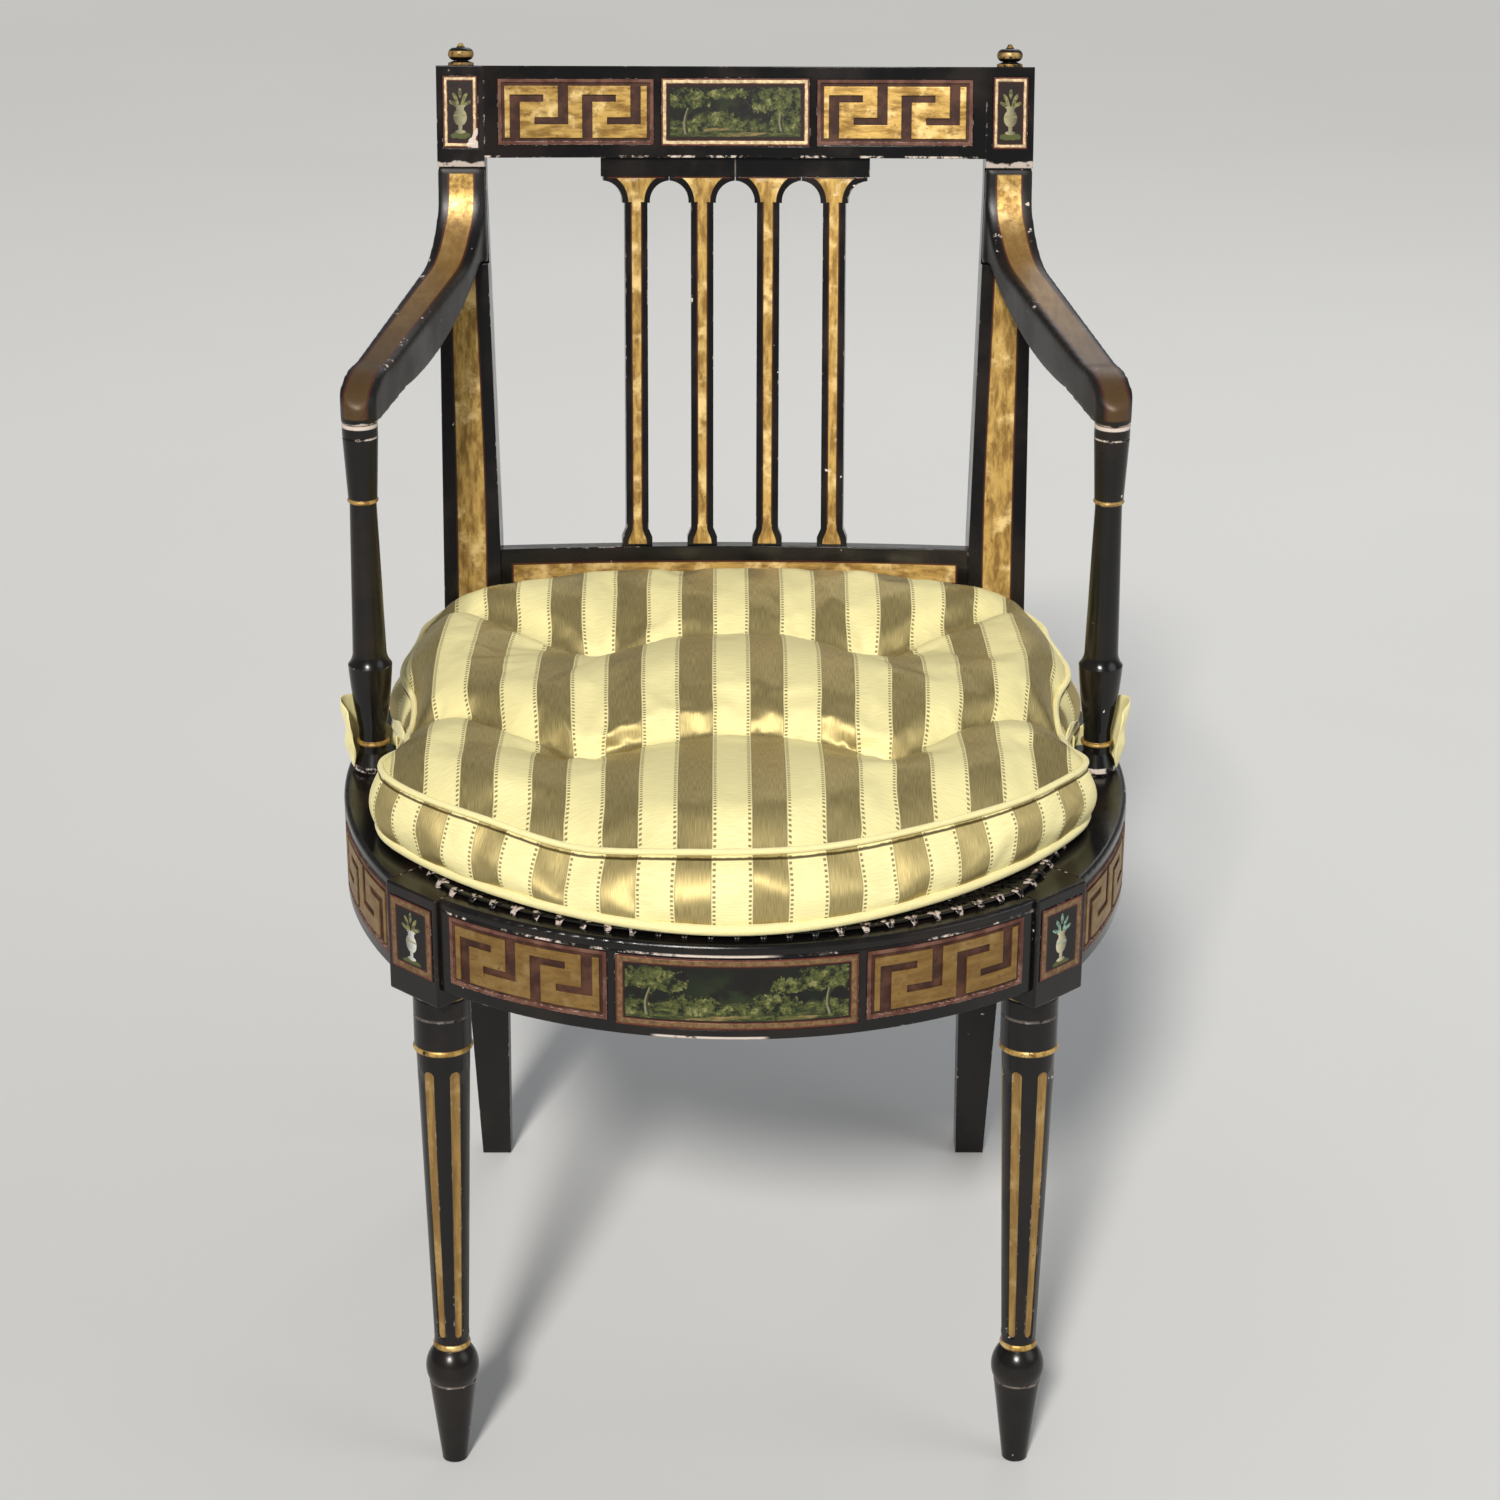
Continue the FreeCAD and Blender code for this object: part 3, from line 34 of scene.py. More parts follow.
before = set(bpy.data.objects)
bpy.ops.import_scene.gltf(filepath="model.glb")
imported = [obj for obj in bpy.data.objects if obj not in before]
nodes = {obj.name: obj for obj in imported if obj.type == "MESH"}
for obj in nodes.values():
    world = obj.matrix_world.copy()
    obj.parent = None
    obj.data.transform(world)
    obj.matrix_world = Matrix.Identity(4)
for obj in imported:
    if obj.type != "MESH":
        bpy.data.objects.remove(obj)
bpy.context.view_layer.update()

# Camera
CAMERA_PLACE = (-10.1, -2078.9, 1297.9)
CAMERA_PITCH = 22.674        # degrees below the horizon
CAMERA_YAW = 0.558
CAMERA_ROLL = 0.269
CAMERA_FOCAL = 3237.6        # in pixels of a frame 1500 wide
FRAME_PIXELS = 1500
SENSOR = 36.0

# Sizes of the CAD model that the paint and the soft pieces follow
SEAT_TOP = 423.5
FRONT_BOW = 298.0
WIDEST_Y = -20.0
SEAT_HALF_WIDTH = 268.0
BACK_Y = 170.3
BACK_RAKE = 10.9
STILE_OUTER = 215.0
STILE_FACE_LOW = 42.0
STILE_FACE_TOP = 34.0
STILE_INNER_TOP = STILE_OUTER - STILE_FACE_TOP
STILE_INNER_LOW = STILE_OUTER - STILE_FACE_LOW
BOW_SAG = 22.0
BOW_R = (STILE_INNER_TOP ** 2 + BOW_SAG ** 2) / (2 * BOW_SAG)
BOW_CENTRE_Y = BACK_Y + BOW_SAG - BOW_R
SIDE_DROP = SEAT_HALF_WIDTH - STILE_OUTER
SIDE_RUN = BACK_Y - WIDEST_Y
SIDE_RADIUS = (SIDE_DROP ** 2 + SIDE_RUN ** 2) / (2 * SIDE_DROP)
SIDE_CENTRE = SEAT_HALF_WIDTH - SIDE_RADIUS
CREST_LOW = 374.4
STILE_TOP = 439.5
CREST_MIDDLE = (CREST_LOW + STILE_TOP) / 2
LOWER_RAIL_LOW = 48.6
LOWER_RAIL_HEIGHT = 40.7
SPLAT_PITCH = 48.0
HEAD_HEIGHT = 13.6
CAPITAL_HEIGHT = 19.0
SHAFT_HALF = 8.2
BEAD_DROP = 7.0
BLOCK_SIZE = 47.0
BLOCK_TURN = math.radians(43.6)
BLOCK_LOW = 347.0
LEG_X = 191.02
LEG_Y = -200.60
LEG_RAKE = 3.5
LEG_SHAFT_TOP_R = 17.6
LEG_SHAFT_LOW_R = 11.7
LEG_SHAFT_TOP = 304.1
LEG_ANKLE_TOP = 89.5
FLUTE_TOP = 289.1
FLUTE_LOW = 97.5
FLUTE_SHARE = 0.205          # half a flute's width over the leg's radius
POST_X = 249.0
POST_Y = -20.0
ARM_JOINT = 672.0
ARM_TOP = 772.0
ARM_SOFT = 4.0               # the arms' edges and knuckles are rubbed round
ARM_VOXEL = 1.6
ARM_ROUNDS = 16
PANEL_HIGH = SEAT_TOP - 9.0
PANEL_PROUD = 0.6
PANEL_GAP = 5.5
KEY_DEPTH = 1.2
KEY_WIDTH = 113.0
KEY_HEIGHT = 46.6
KEY_RIM = 2.6
PICTURE_HEIGHT = 48.4
CREST_PICTURE_HALF = 54.0
FRONT_PICTURE_HALF = 76.0

# Gilt bands and bare lines, each with its lower end, its upper end and the softness of both
STILE_BAND = (4.0, 330.0, 1.0)
# Joint line of the stile: worn paint, and also a painted highlight where the arm's top meets the stile
STILE_JOINT = (367.5, 376.5, 0.6)
LEG_RINGS = ((342.9, 348.0, 0.3), (304.3, 308.4, 0.3), (85.2, 89.4, 0.3))
LEG_LINES = ((328.6, 330.4, 0.3), (59.2, 60.8, 0.3))
POST_RINGS = ((443.2, 446.8, 0.25), (617.0, 620.2, 0.25))
POST_COLLAR = (425.5, 429.0, 0.4)
POST_LINE = (662.4, 663.6, 0.2)
FINIAL_RINGS = ((0.1, 2.1, 0.2), (6.0, 10.2, 0.3), (13.5, 17.0, 0.3))
LOWER_STRIP_MIDDLE = 71.0
LOWER_STRIP_HALF = 6.3
LOWER_STRIP_REACH = 165.0

# Colours, linear
BLACK = (0.0040, 0.0037, 0.0036)
BROWN_BLACK = (0.011, 0.007, 0.005)
WORN_BROWN = (0.10, 0.055, 0.035)
CHIP = (0.62, 0.53, 0.46)
GOLD_LIGHT = (0.88, 0.64, 0.27)
GOLD = (0.64, 0.41, 0.12)
GOLD_DARK = (0.26, 0.145, 0.036)
# Browned gold; on the upright key panels and on the arms below their top it is painted shade
GOLD_BROWN = (0.20, 0.112, 0.034)
GOLD_LOST = (0.045, 0.023, 0.009)
RED_GROUND = (0.115, 0.026, 0.014)
FRINGE = (0.055, 0.014, 0.008)
KEY_DARK = (0.036, 0.012, 0.007)
KEY_BROWN = (0.085, 0.033, 0.018)
RIM_BROWN = (0.085, 0.028, 0.018)
RIM_LIGHT = (0.165, 0.075, 0.050)
RIM_BARE = (0.55, 0.42, 0.37)
BEECH = (0.50, 0.34, 0.19)
STEEL = (0.30, 0.29, 0.28)

# Stretch of streaks along a piece
UPRIGHT = (1.0, 1.0, 0.15)
LEVEL = (0.15, 1.0, 1.0)
BACKWARD = (1.0, 0.15, 1.0)


# Shader nodes
class Term:
    """A value in a material. Sums with it make shader nodes; of masks, * means both and | means either."""

    def __init__(self, paint, socket):
        self.paint = paint
        self.socket = socket

    def math(self, operation, *others):
        return self.paint.math(operation, self, *others)

    def __add__(self, other):
        return self.math("ADD", other)

    def __sub__(self, other):
        return self.math("SUBTRACT", other)

    def __rsub__(self, other):
        return self.paint.math("SUBTRACT", other, self)

    def __mul__(self, other):
        return self.math("MULTIPLY", other)

    def __truediv__(self, other):
        return self.math("DIVIDE", other)

    def __or__(self, other):
        return self.math("MAXIMUM", other)

    def __abs__(self):
        return self.math("ABSOLUTE")

    def rise(self, low, high):
        """0 below low and 1 above high, smooth between them."""
        inputs = {"Value": self, "From Min": low, "From Max": high}
        return self.paint.term("ShaderNodeMapRange", inputs, interpolation_type="SMOOTHSTEP")

    def between(self, low, high, soft):
        """1 between two values, with soft edges."""
        return (self - low).rise(-soft, soft) * (high - self).rise(-soft, soft)

    def within(self, high, soft):
        """1 up to a value, for what is never less than nothing."""
        return self.between(-1.0, high, soft)

    def in_any(self, spans):
        """1 inside any of some spans."""
        mask = self.between(*spans[0])
        for span in spans[1:]:
            mask = mask | self.between(*span)
        return mask

    def blend(self, first, second):
        """Mix of two numbers."""
        return self.paint.term("ShaderNodeMix", {0: self, 2: first, 3: second}, data_type="FLOAT")


class Paint:
    """One material, built from shader nodes."""

    def __init__(self, name):
        self.material = bpy.data.materials.new(name)
        self.material.use_nodes = True
        self.tree = self.material.node_tree
        self.tree.nodes.clear()
        coordinates = self.node("ShaderNodeTexCoord").outputs
        self.normal = Term(self, coordinates["Normal"])
        self.place = self.millimetres(Term(self, coordinates["Object"]))
        self.x, self.y, self.z = self.split(self.place)

    def node(self, kind, inputs=(), **settings):
        """A shader node; its inputs are numbers, colours or terms, under the sockets' names or places."""
        made = self.tree.nodes.new(kind)
        for key, value in settings.items():
            setattr(made, key, value)
        for key, value in dict(inputs).items():
            socket = made.inputs[key]
            if isinstance(value, Term):
                self.tree.links.new(value.socket, socket)
            elif socket.type == "RGBA":
                socket.default_value = (*value, 1.0)
            else:
                socket.default_value = value
        return made

    def term(self, kind, inputs=(), out=0, **settings):
        return Term(self, self.node(kind, inputs, **settings).outputs[out])

    def math(self, operation, *values):
        return self.term("ShaderNodeMath", enumerate(values), operation=operation)

    def millimetres(self, vector):
        return self.term("ShaderNodeVectorMath", {0: vector, "Scale": 1 / MM}, operation="SCALE")

    def split(self, vector):
        return [Term(self, socket) for socket in self.node("ShaderNodeSeparateXYZ", {0: vector}).outputs]

    def upright(self, pivot, degrees):
        """Coordinates after a turn about an axis along X through the pivot."""
        inputs = {"Vector": self.place, "Center": pivot, "Angle": math.radians(degrees)}
        return self.split(self.term("ShaderNodeVectorRotate", inputs, rotation_type="X_AXIS"))

    def noise(self, scale, detail=3.0, roughness=0.5, place=None):
        inputs = {"Vector": place or self.place, "Scale": scale, "Detail": detail, "Roughness": roughness}
        return self.term("ShaderNodeTexNoise", inputs)

    def streaks(self, stretch, scale, detail, roughness):
        """Noise drawn out along one way."""
        drawn = self.term("ShaderNodeVectorMath", {0: self.place, 1: stretch}, operation="MULTIPLY")
        return self.noise(scale, detail, roughness, drawn)

    def flat_noise(self, u, v, scale, detail=3.0, roughness=0.5):
        """Noise over two coordinates."""
        place = self.term("ShaderNodeCombineXYZ", {0: u, 1: v})
        return self.noise(scale, detail, roughness, place)

    def ragged(self, scale, low, high):
        """Broken patches, for places where paint has come off."""
        return self.noise(scale, 4.0, 0.65).rise(low, high)

    def wear(self, mask, low, high):
        """A mask with rubbed, uneven edges."""
        return mask * self.noise(0.24, 4.0, 0.6).rise(low, high)

    def coats(self, colour, *coats):
        """A colour with others laid over it, each after its mask."""
        for mask, over in coats:
            colour = self.term("ShaderNodeMix", {0: mask, 6: colour, 7: over}, 2, data_type="RGBA")
        return colour

    def bump(self, height, distance, normal=None):
        """Normal for a height in millimetres, on top of another normal where one is given."""
        inputs = {"Strength": 1.0, "Distance": distance * MM, "Height": height}
        if normal:
            inputs["Normal"] = normal
        return self.term("ShaderNodeBump", inputs)

    def rounded(self, radius):
        """The normal, with sharp edges rounded."""
        return self.term("ShaderNodeBevel", {"Radius": radius * MM}, samples=4)

    def edges(self, radius):
        """1 near sharp edges and 0 on flats, and the normal with those edges rounded."""
        normal = self.rounded(radius)
        straight = self.term("ShaderNodeNewGeometry", out="Normal")
        flat = self.term("ShaderNodeVectorMath", {0: normal, 1: straight}, "Value", operation="DOT_PRODUCT")
        return (1.0 - flat).rise(0.01, 0.14), normal

    def done(self, colour, roughness, metallic=0.0, normal=None, **others):
        inputs = {"Base Color": colour, "Roughness": roughness, "Metallic": metallic}
        if normal:
            inputs["Normal"] = normal
        for key, value in others.items():
            inputs[key.replace("_", " ")] = value
        shader = self.node("ShaderNodeBsdfPrincipled", inputs)
        output = self.node("ShaderNodeOutputMaterial")
        self.tree.links.new(shader.outputs[0], output.inputs[0])
        return self.material


def hypot(first, second):
    return (first * first + second * second).math("SQRT")


def darker(colour, share):
    return tuple(share * part for part in colour)


# Places on the chair: arc length or place across, height over the face, and height
def circle_terms(across, ahead, radius):
    """Arc length along a circle, and distance outside it."""
    return across.math("ARCTAN2", ahead) * radius, hypot(across, ahead) - radius


def back_terms(paint):
    """Across, depth behind the stiles' face and height along the stiles, for the leaning back."""
    across, depth, along = paint.upright((0.0, BACK_Y, SEAT_TOP), BACK_RAKE)
    return across, depth - BACK_Y, along - SEAT_TOP


def bow_terms(paint):
    across, depth, along = back_terms(paint)
    arc, behind = circle_terms(across, depth + (BACK_Y - BOW_CENTRE_Y), BOW_R)
    return arc, 0.0 - behind, along


def front_terms(paint):
    return *circle_terms(paint.x, paint.y * -1.0, FRONT_BOW), paint.z


def side_terms(paint):
    return *circle_terms(abs(paint.x) - SIDE_CENTRE, WIDEST_Y - paint.y, SIDE_RADIUS), paint.z


# Black and gilt pieces
def ebonised(paint, gilt=None, fringe=None, along=UPRIGHT, bare=None, dull=0.0, lost=0.0, soft=0.0):
    """Black varnish with worn edges and chips.

    The masks are gilt, fringe, which is wider and dark red, and bare, where paint is missing; at the stile's
    joint line bare is also a painted highlight. Dull and lost say how far the gold is darkened to brown and
    then nearly black; on the arms dull is painted shade below the top, where the highlight falls. Soft is a
    radius in millimetres for well-rounded pieces with less of a gloss.
    """
    cloud = paint.noise(0.018, 4.0, 0.6)
    grain = paint.streaks(along, 0.5, 3.0, 0.6)
    edge, rounded = paint.edges(1.3)
    speckle = paint.noise(0.16, 4.0, 0.65)
    patches = paint.noise(0.021, 2.0, 0.5)
    worn = edge * speckle.rise(0.50, 0.60) * patches.rise(0.46, 0.60)
    fleck = paint.noise(0.11, 2.0, 0.5).rise(0.735, 0.755) * patches.rise(0.44, 0.56)
    chip = worn * speckle.rise(0.56, 0.62) | fleck
    colour = paint.coats(BLACK, (cloud.rise(0.42, 0.68), BROWN_BLACK), (worn * 0.55, WORN_BROWN))
    rough = cloud.rise(0.35, 0.7).blend(0.17, 0.30)
    if soft:
        rounded = paint.rounded(soft)
        rough = rough + 0.16
    metal = 0.0
    if gilt:
        streak = paint.streaks(along, 0.22, 5.0, 0.65)
        mottle = paint.noise(0.055, 4.0, 0.6)
        rubbed = paint.noise(0.33, 5.0, 0.7).rise(0.63, 0.72)
        gold = paint.coats(GOLD_DARK, (streak.rise(0.36, 0.66), GOLD), (mottle.rise(0.50, 0.70), GOLD_LIGHT),
                           (dull, GOLD_BROWN), (lost, GOLD_LOST), (rubbed * 0.7, RED_GROUND))
        if fringe:
            colour = paint.coats(colour, (fringe, FRINGE))
        colour = paint.coats(colour, (gilt, gold))
        rough = gilt.blend(rough, streak.blend(0.50, 0.32))
        metal = gilt * (0.62 - dull * 0.5)
    if bare:
        chip = chip | bare
    colour = paint.coats(colour, (chip, CHIP))
    normal = paint.bump(grain * 0.35 + chip * -0.6, 0.12, rounded)
    return paint.done(colour, chip.blend(rough, 0.75), metal, normal, Specular_IOR_Level=0.36)


def front_rail_paint():
    """The bead and the lower edge have lost their paint in the middle, and the bead in places too."""
    paint = Paint("ebonised_front_rail")
    arc, proud, up = front_terms(paint)
    bead = up.between(SEAT_TOP - BEAD_DROP - 0.9, SEAT_TOP - BEAD_DROP + 0.7, 0.3)
    middle = arc.between(-46.0, 22.0, 8.0) * paint.ragged(0.15, 0.36, 0.46)
    places = paint.ragged(0.03, 0.50, 0.58) * paint.ragged(0.2, 0.45, 0.6)
    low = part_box("front_seat_rail")[0][2] / MM
    edge = up.between(low - 1.0, low + 1.6, 0.4) * arc.between(-52.0, 18.0, 3.0)
    edge = edge * proud.rise(-2.0, -1.0) * paint.ragged(0.10, 0.34, 0.44)
    return ebonised(paint, bare=edge | bead * (middle | places))


def crest_paint():
    """Pale rubbed marks along the lower edge."""
    paint = Paint("ebonised_crest")
    arc, proud, along = bow_terms(paint)
    edge = along.between(CREST_LOW - 1.0, CREST_LOW + 1.6, 0.3) * proud.rise(-2.0, -1.0)
    marks = edge * paint.ragged(0.05, 0.48, 0.56) * paint.ragged(0.25, 0.42, 0.55)
    return ebonised(paint, bare=marks, along=LEVEL)


def glue_line(paint, arc):
    """Open joint in the middle of the splat's head."""
    return arc.between(-0.5, 0.5, 0.2) * paint.ragged(0.3, 0.30, 0.50) * 0.22


def head_rail_paint():
    paint = Paint("ebonised_head_rail")
    arc, proud, along = bow_terms(paint)
    return ebonised(paint, bare=glue_line(paint, arc), along=LEVEL)


def stile_paint():
    """Gilt band down the middle of a stile's face."""
    paint = Paint("ebonised_stile")
    across, depth, along = back_terms(paint)
    face = along.rise(90.0, 350.0).blend(STILE_FACE_LOW, STILE_FACE_TOP)
    off = abs(abs(across) - (STILE_OUTER - face * 0.5))
    half = face * 0.24
    front = depth.between(-1.0, 0.6, 0.2) * along.between(*STILE_BAND)
    gilt = front * off.within(half, 0.5)
    fringe = front * off.within(half + 1.2, 0.4)
    # Pale line where the arm's top meets the stile: worn paint, and partly a painted highlight
    waver = paint.noise(0.09) * 9.0 + along
    seam = depth.between(-1.0, 2.0, 0.3) * waver.between(*STILE_JOINT)
    return ebonised(paint, paint.wear(gilt, 0.22, 0.34), fringe,
                    bare=seam * paint.ragged(0.17, 0.36, 0.48) * 0.7)


def arm_paint():
    """Gilt band along an arm's upper side, up to its end on the stile."""
    paint = Paint("ebonised_arm")
    end_x = (STILE_OUTER + STILE_INNER_TOP) / 2
    end_y = BACK_Y + (ARM_TOP - SEAT_TOP) * math.tan(math.radians(BACK_RAKE))
    length = math.hypot(end_x - POST_X, end_y - POST_Y)
    ahead_x, ahead_y = (end_x - POST_X) / length, (end_y - POST_Y) / length
    from_x, from_y = abs(paint.x) - POST_X, paint.y - POST_Y
    run = from_x * ahead_x + from_y * ahead_y
    swing = run.rise(length - 18.0, length + 4.0)
    off = abs(swing.blend(from_x * ahead_y - from_y * ahead_x, abs(paint.x) - end_x))
    half = run.rise(40.0, 190.0).blend(7.4, 8.6)
    up_y, up_z = paint.split(paint.normal)[1:]
    upper = (up_z - up_y).rise(0.25, 0.45) * paint.z.between(ARM_JOINT + 5.0, ARM_TOP + 8.0, 0.8)
    gilt = upper * off.within(half, 0.5)
    fringe = upper * off.within(half + 1.5, 0.4)
    waver = paint.noise(0.11) * 5.0 + paint.z
    joint = waver.between(ARM_JOINT - 1.0, ARM_JOINT + 4.2, 0.5) * paint.ragged(0.14, 0.40, 0.50)
    inner = off.between(half, 15.0, 0.5) * paint.ragged(0.035, 0.56, 0.62)
    inner = inner * up_z.rise(0.5, 0.7) * paint.ragged(0.22, 0.55, 0.62)
    # Painted shade: the gold is darkened to brown below the top of the arm, where the highlight falls and the
    # gold stays bright; lost darkens it nearly to black towards the post
    dull = paint.z.rise(ARM_TOP + 4.0, ARM_TOP - 44.0) * 0.9
    lost = run.rise(235.0, 10.0) * 0.82
    return ebonised(paint, paint.wear(gilt, 0.24, 0.38), fringe, BACKWARD, joint | inner, dull, lost,
                    ARM_SOFT)


def leg_paint(side, name):
    """Gilt flutes, collar and rings of a raked front leg."""
    paint = Paint("ebonised_leg_" + name)
    x, y, z = paint.upright((side * LEG_X, LEG_Y, BLOCK_LOW), LEG_RAKE)
    slope = (LEG_SHAFT_TOP_R - LEG_SHAFT_LOW_R) / (LEG_SHAFT_TOP - LEG_ANKLE_TOP)
    shaft = (z - LEG_ANKLE_TOP) * slope + LEG_SHAFT_LOW_R
    sixth = (y - LEG_Y).math("ARCTAN2", x - side * LEG_X) / (math.pi / 3)
    off = (sixth - sixth.math("ROUND")) * (math.pi / 3) * shaft
    beyond = (z - FLUTE_TOP).math("MAXIMUM", 0.0) + (FLUTE_LOW - z).math("MAXIMUM", 0.0)
    flutes = (shaft * FLUTE_SHARE - hypot(off, beyond)).rise(-0.25, 0.25)
    gilt = flutes | z.in_any(LEG_RINGS) * paint.noise(0.2).rise(0.28, 0.4)
    return ebonised(paint, paint.wear(gilt, 0.2, 0.32), dull=flutes * 0.7,
                    bare=z.in_any(LEG_LINES) * paint.ragged(0.15, 0.34, 0.5) * 0.18)


def post_paint():
    """Gilt rings of a turned arm post, and a bare line where the arm sits on it."""
    paint = Paint("ebonised_post")
    rings = paint.z.in_any(POST_RINGS)
    collar = paint.z.between(*POST_COLLAR) * paint.ragged(0.12, 0.44, 0.54)
    joint = paint.z.between(ARM_JOINT - 2.2, ARM_JOINT + 1.0, 0.4) * paint.ragged(0.10, 0.32, 0.44)
    line = paint.z.between(*POST_LINE) * paint.ragged(0.1, 0.48, 0.58)
    return ebonised(paint, paint.wear(rings, 0.3, 0.42), dull=0.3, bare=collar | joint | line)


def finial_paint():
    paint = Paint("ebonised_finial")
    across, depth, along = back_terms(paint)
    rings = (along - STILE_TOP).in_any(FINIAL_RINGS)
    return ebonised(paint, paint.wear(rings, 0.36, 0.5), dull=0.6)


def column_paint():
    """Gilt capital, shaft strip and foot of a splat column, inside a black edge."""
    paint = Paint("ebonised_column")
    arc, proud, along = bow_terms(paint)
    off = abs((arc + 2 * SPLAT_PITCH).math("MODULO", SPLAT_PITCH) - SPLAT_PITCH / 2)
    head = CREST_LOW - HEAD_HEIGHT
    spring = head - CAPITAL_HEIGHT
    foot = LOWER_RAIL_LOW + LOWER_RAIL_HEIGHT
    front = proud.rise(-6.0, -5.0)
    arch_x = (SPLAT_PITCH / 2 - off) / (SPLAT_PITCH / 2 - SHAFT_HALF - 1.8)
    arch_z = (along - spring) / (CAPITAL_HEIGHT - 3.0)
    capital = hypot(arch_x, arch_z).rise(1.29, 1.33) * along.between(spring + 0.6, head - 1.2, 0.3)
    capital = capital * off.within(20.0, 0.3)
    width = along.rise(foot + 30.0, spring).blend(2.9, 3.3)
    strip = off.within(width, 0.3) * along.between(foot + 1.5, spring + 2.0, 0.3)
    flare = along.rise(foot + 14.0, foot + 2.5) * 3.3 + 3.4
    base = off.within(flare, 0.3) * along.between(foot + 1.5, foot + 16.0, 0.3)
    gilt = front * (capital | strip | base)
    fringe = front * off.within(width + 1.0, 0.3) * along.between(foot + 14.0, spring, 0.5)
    fringe = fringe | front * along.between(head - 1.4, head - 0.2, 0.2) * off.within(20.6, 0.3)
    edge = capital * along.between(head - 4.0, head - 1.2, 0.6) * paint.ragged(0.08, 0.50, 0.60)
    seam = glue_line(paint, arc) * along.rise(spring + 8.0, spring + 9.0)
    return ebonised(paint, paint.wear(gilt, 0.2, 0.32), fringe, bare=seam | edge * 0.55)


def lower_rail_paint():
    """Gilt strip along the lower rail of the back, with a red line round it."""
    paint = Paint("ebonised_lower_rail")
    arc, proud, along = bow_terms(paint)
    off = abs(along - LOWER_STRIP_MIDDLE)
    front = proud.rise(-1.0, -0.4)
    gilt = front * off.within(LOWER_STRIP_HALF, 0.3) * abs(arc).within(LOWER_STRIP_REACH, 0.4)
    fringe = front * off.within(LOWER_STRIP_HALF + 1.3, 0.3) * abs(arc).within(LOWER_STRIP_REACH + 1.5, 0.4)
    return ebonised(paint, paint.wear(gilt, 0.24, 0.36), fringe, LEVEL)


def key_paint(name, terms, start, low, dull):
    """Gilt key panel: terms gives the arc length, the height over the carrying face and the height."""
    paint = Paint(name)
    arc, proud, up = terms(paint)
    across, rise = abs(arc) - start, up - low
    groove = proud.rise(PANEL_PROUD - 0.45 * KEY_DEPTH, PANEL_PROUD - 0.75 * KEY_DEPTH)
    rim_x = across.math("MINIMUM", KEY_WIDTH - across)
    rim_z = rise.math("MINIMUM", KEY_HEIGHT - rise)
    rim = rim_x.math("MINIMUM", rim_z).rise(KEY_RIM + 0.3, KEY_RIM - 0.3)
    streak = paint.streaks((0.25, 0.25, 1.0), 0.22, 5.0, 0.65)
    mottle = paint.noise(0.07, 4.0, 0.6)
    edge, rounded = paint.edges(0.9)
    speckle = paint.noise(0.3, 4.0, 0.65)
    # dull darkens the gold to brown: painted shade on the upright front and side panels, which catch less
    # light than the leaning crest
    gold = paint.coats(GOLD_DARK, (streak.rise(0.36, 0.64), GOLD), (mottle.rise(0.48, 0.70), GOLD_LIGHT),
                       (dull, GOLD_BROWN), (speckle.rise(0.60, 0.70) * 0.6, RED_GROUND))
    brown = paint.coats(KEY_DARK, (mottle.rise(0.40, 0.65), KEY_BROWN))
    rim_colour = paint.coats(RIM_BROWN, (mottle.rise(0.40, 0.62), RIM_LIGHT))
    bare = edge * rim * speckle.rise(0.48, 0.58) * rise.rise(KEY_HEIGHT * 0.8, 0.0)
    colour = paint.coats(gold, (groove, brown), (rim, rim_colour), (bare, RIM_BARE))
    gilt = (1.0 - groove) * (1.0 - rim)
    rough = gilt.blend(0.62, streak.blend(0.52, 0.34))
    normal = paint.bump(streak * 0.5 + speckle * 0.5, 0.25, rounded)
    return paint.done(colour, rough, gilt * 0.6, normal, Specular_IOR_Level=0.3)


def fixing_paint(name, colour, metal, rough):
    """Dowels and screws, which sit inside the wood."""
    paint = Paint(name)
    grain = paint.streaks((1.0, 1.0, 0.2), 0.5, 4.0, 0.6)
    shaded = paint.coats(darker(colour, 0.6), (grain.rise(0.35, 0.65), colour))
    return paint.done(shaded, rough, metal, paint.bump(grain, 0.15))


def assign(material, *names):
    for name in names:
        mesh = nodes[name].data
        mesh.materials.clear()
        mesh.materials.append(material)


def pair(name):
    return name + "_left", name + "_right"


def rub_smooth(made):
    """Wear the creases of an arm down a little."""
    fine = made.modifiers.new("fine", "REMESH")
    fine.mode = "VOXEL"
    fine.voxel_size = ARM_VOXEL * MM
    fine.use_smooth_shade = True
    soften = made.modifiers.new("soften", "SMOOTH")
    soften.factor = 0.5
    soften.iterations = ARM_ROUNDS


corner_x = LEG_X + BLOCK_SIZE / 2 * (math.cos(BLOCK_TURN) + math.sin(BLOCK_TURN))
corner_y = LEG_Y + BLOCK_SIZE / 2 * (math.sin(BLOCK_TURN) - math.cos(BLOCK_TURN))
SIDE_START = SIDE_RADIUS * math.atan2(corner_x - SIDE_CENTRE, WIDEST_Y - corner_y) + PANEL_GAP
SEAT_KEY_LOW = PANEL_HIGH - KEY_HEIGHT
CREST_KEY_LOW = CREST_MIDDLE - KEY_HEIGHT / 2

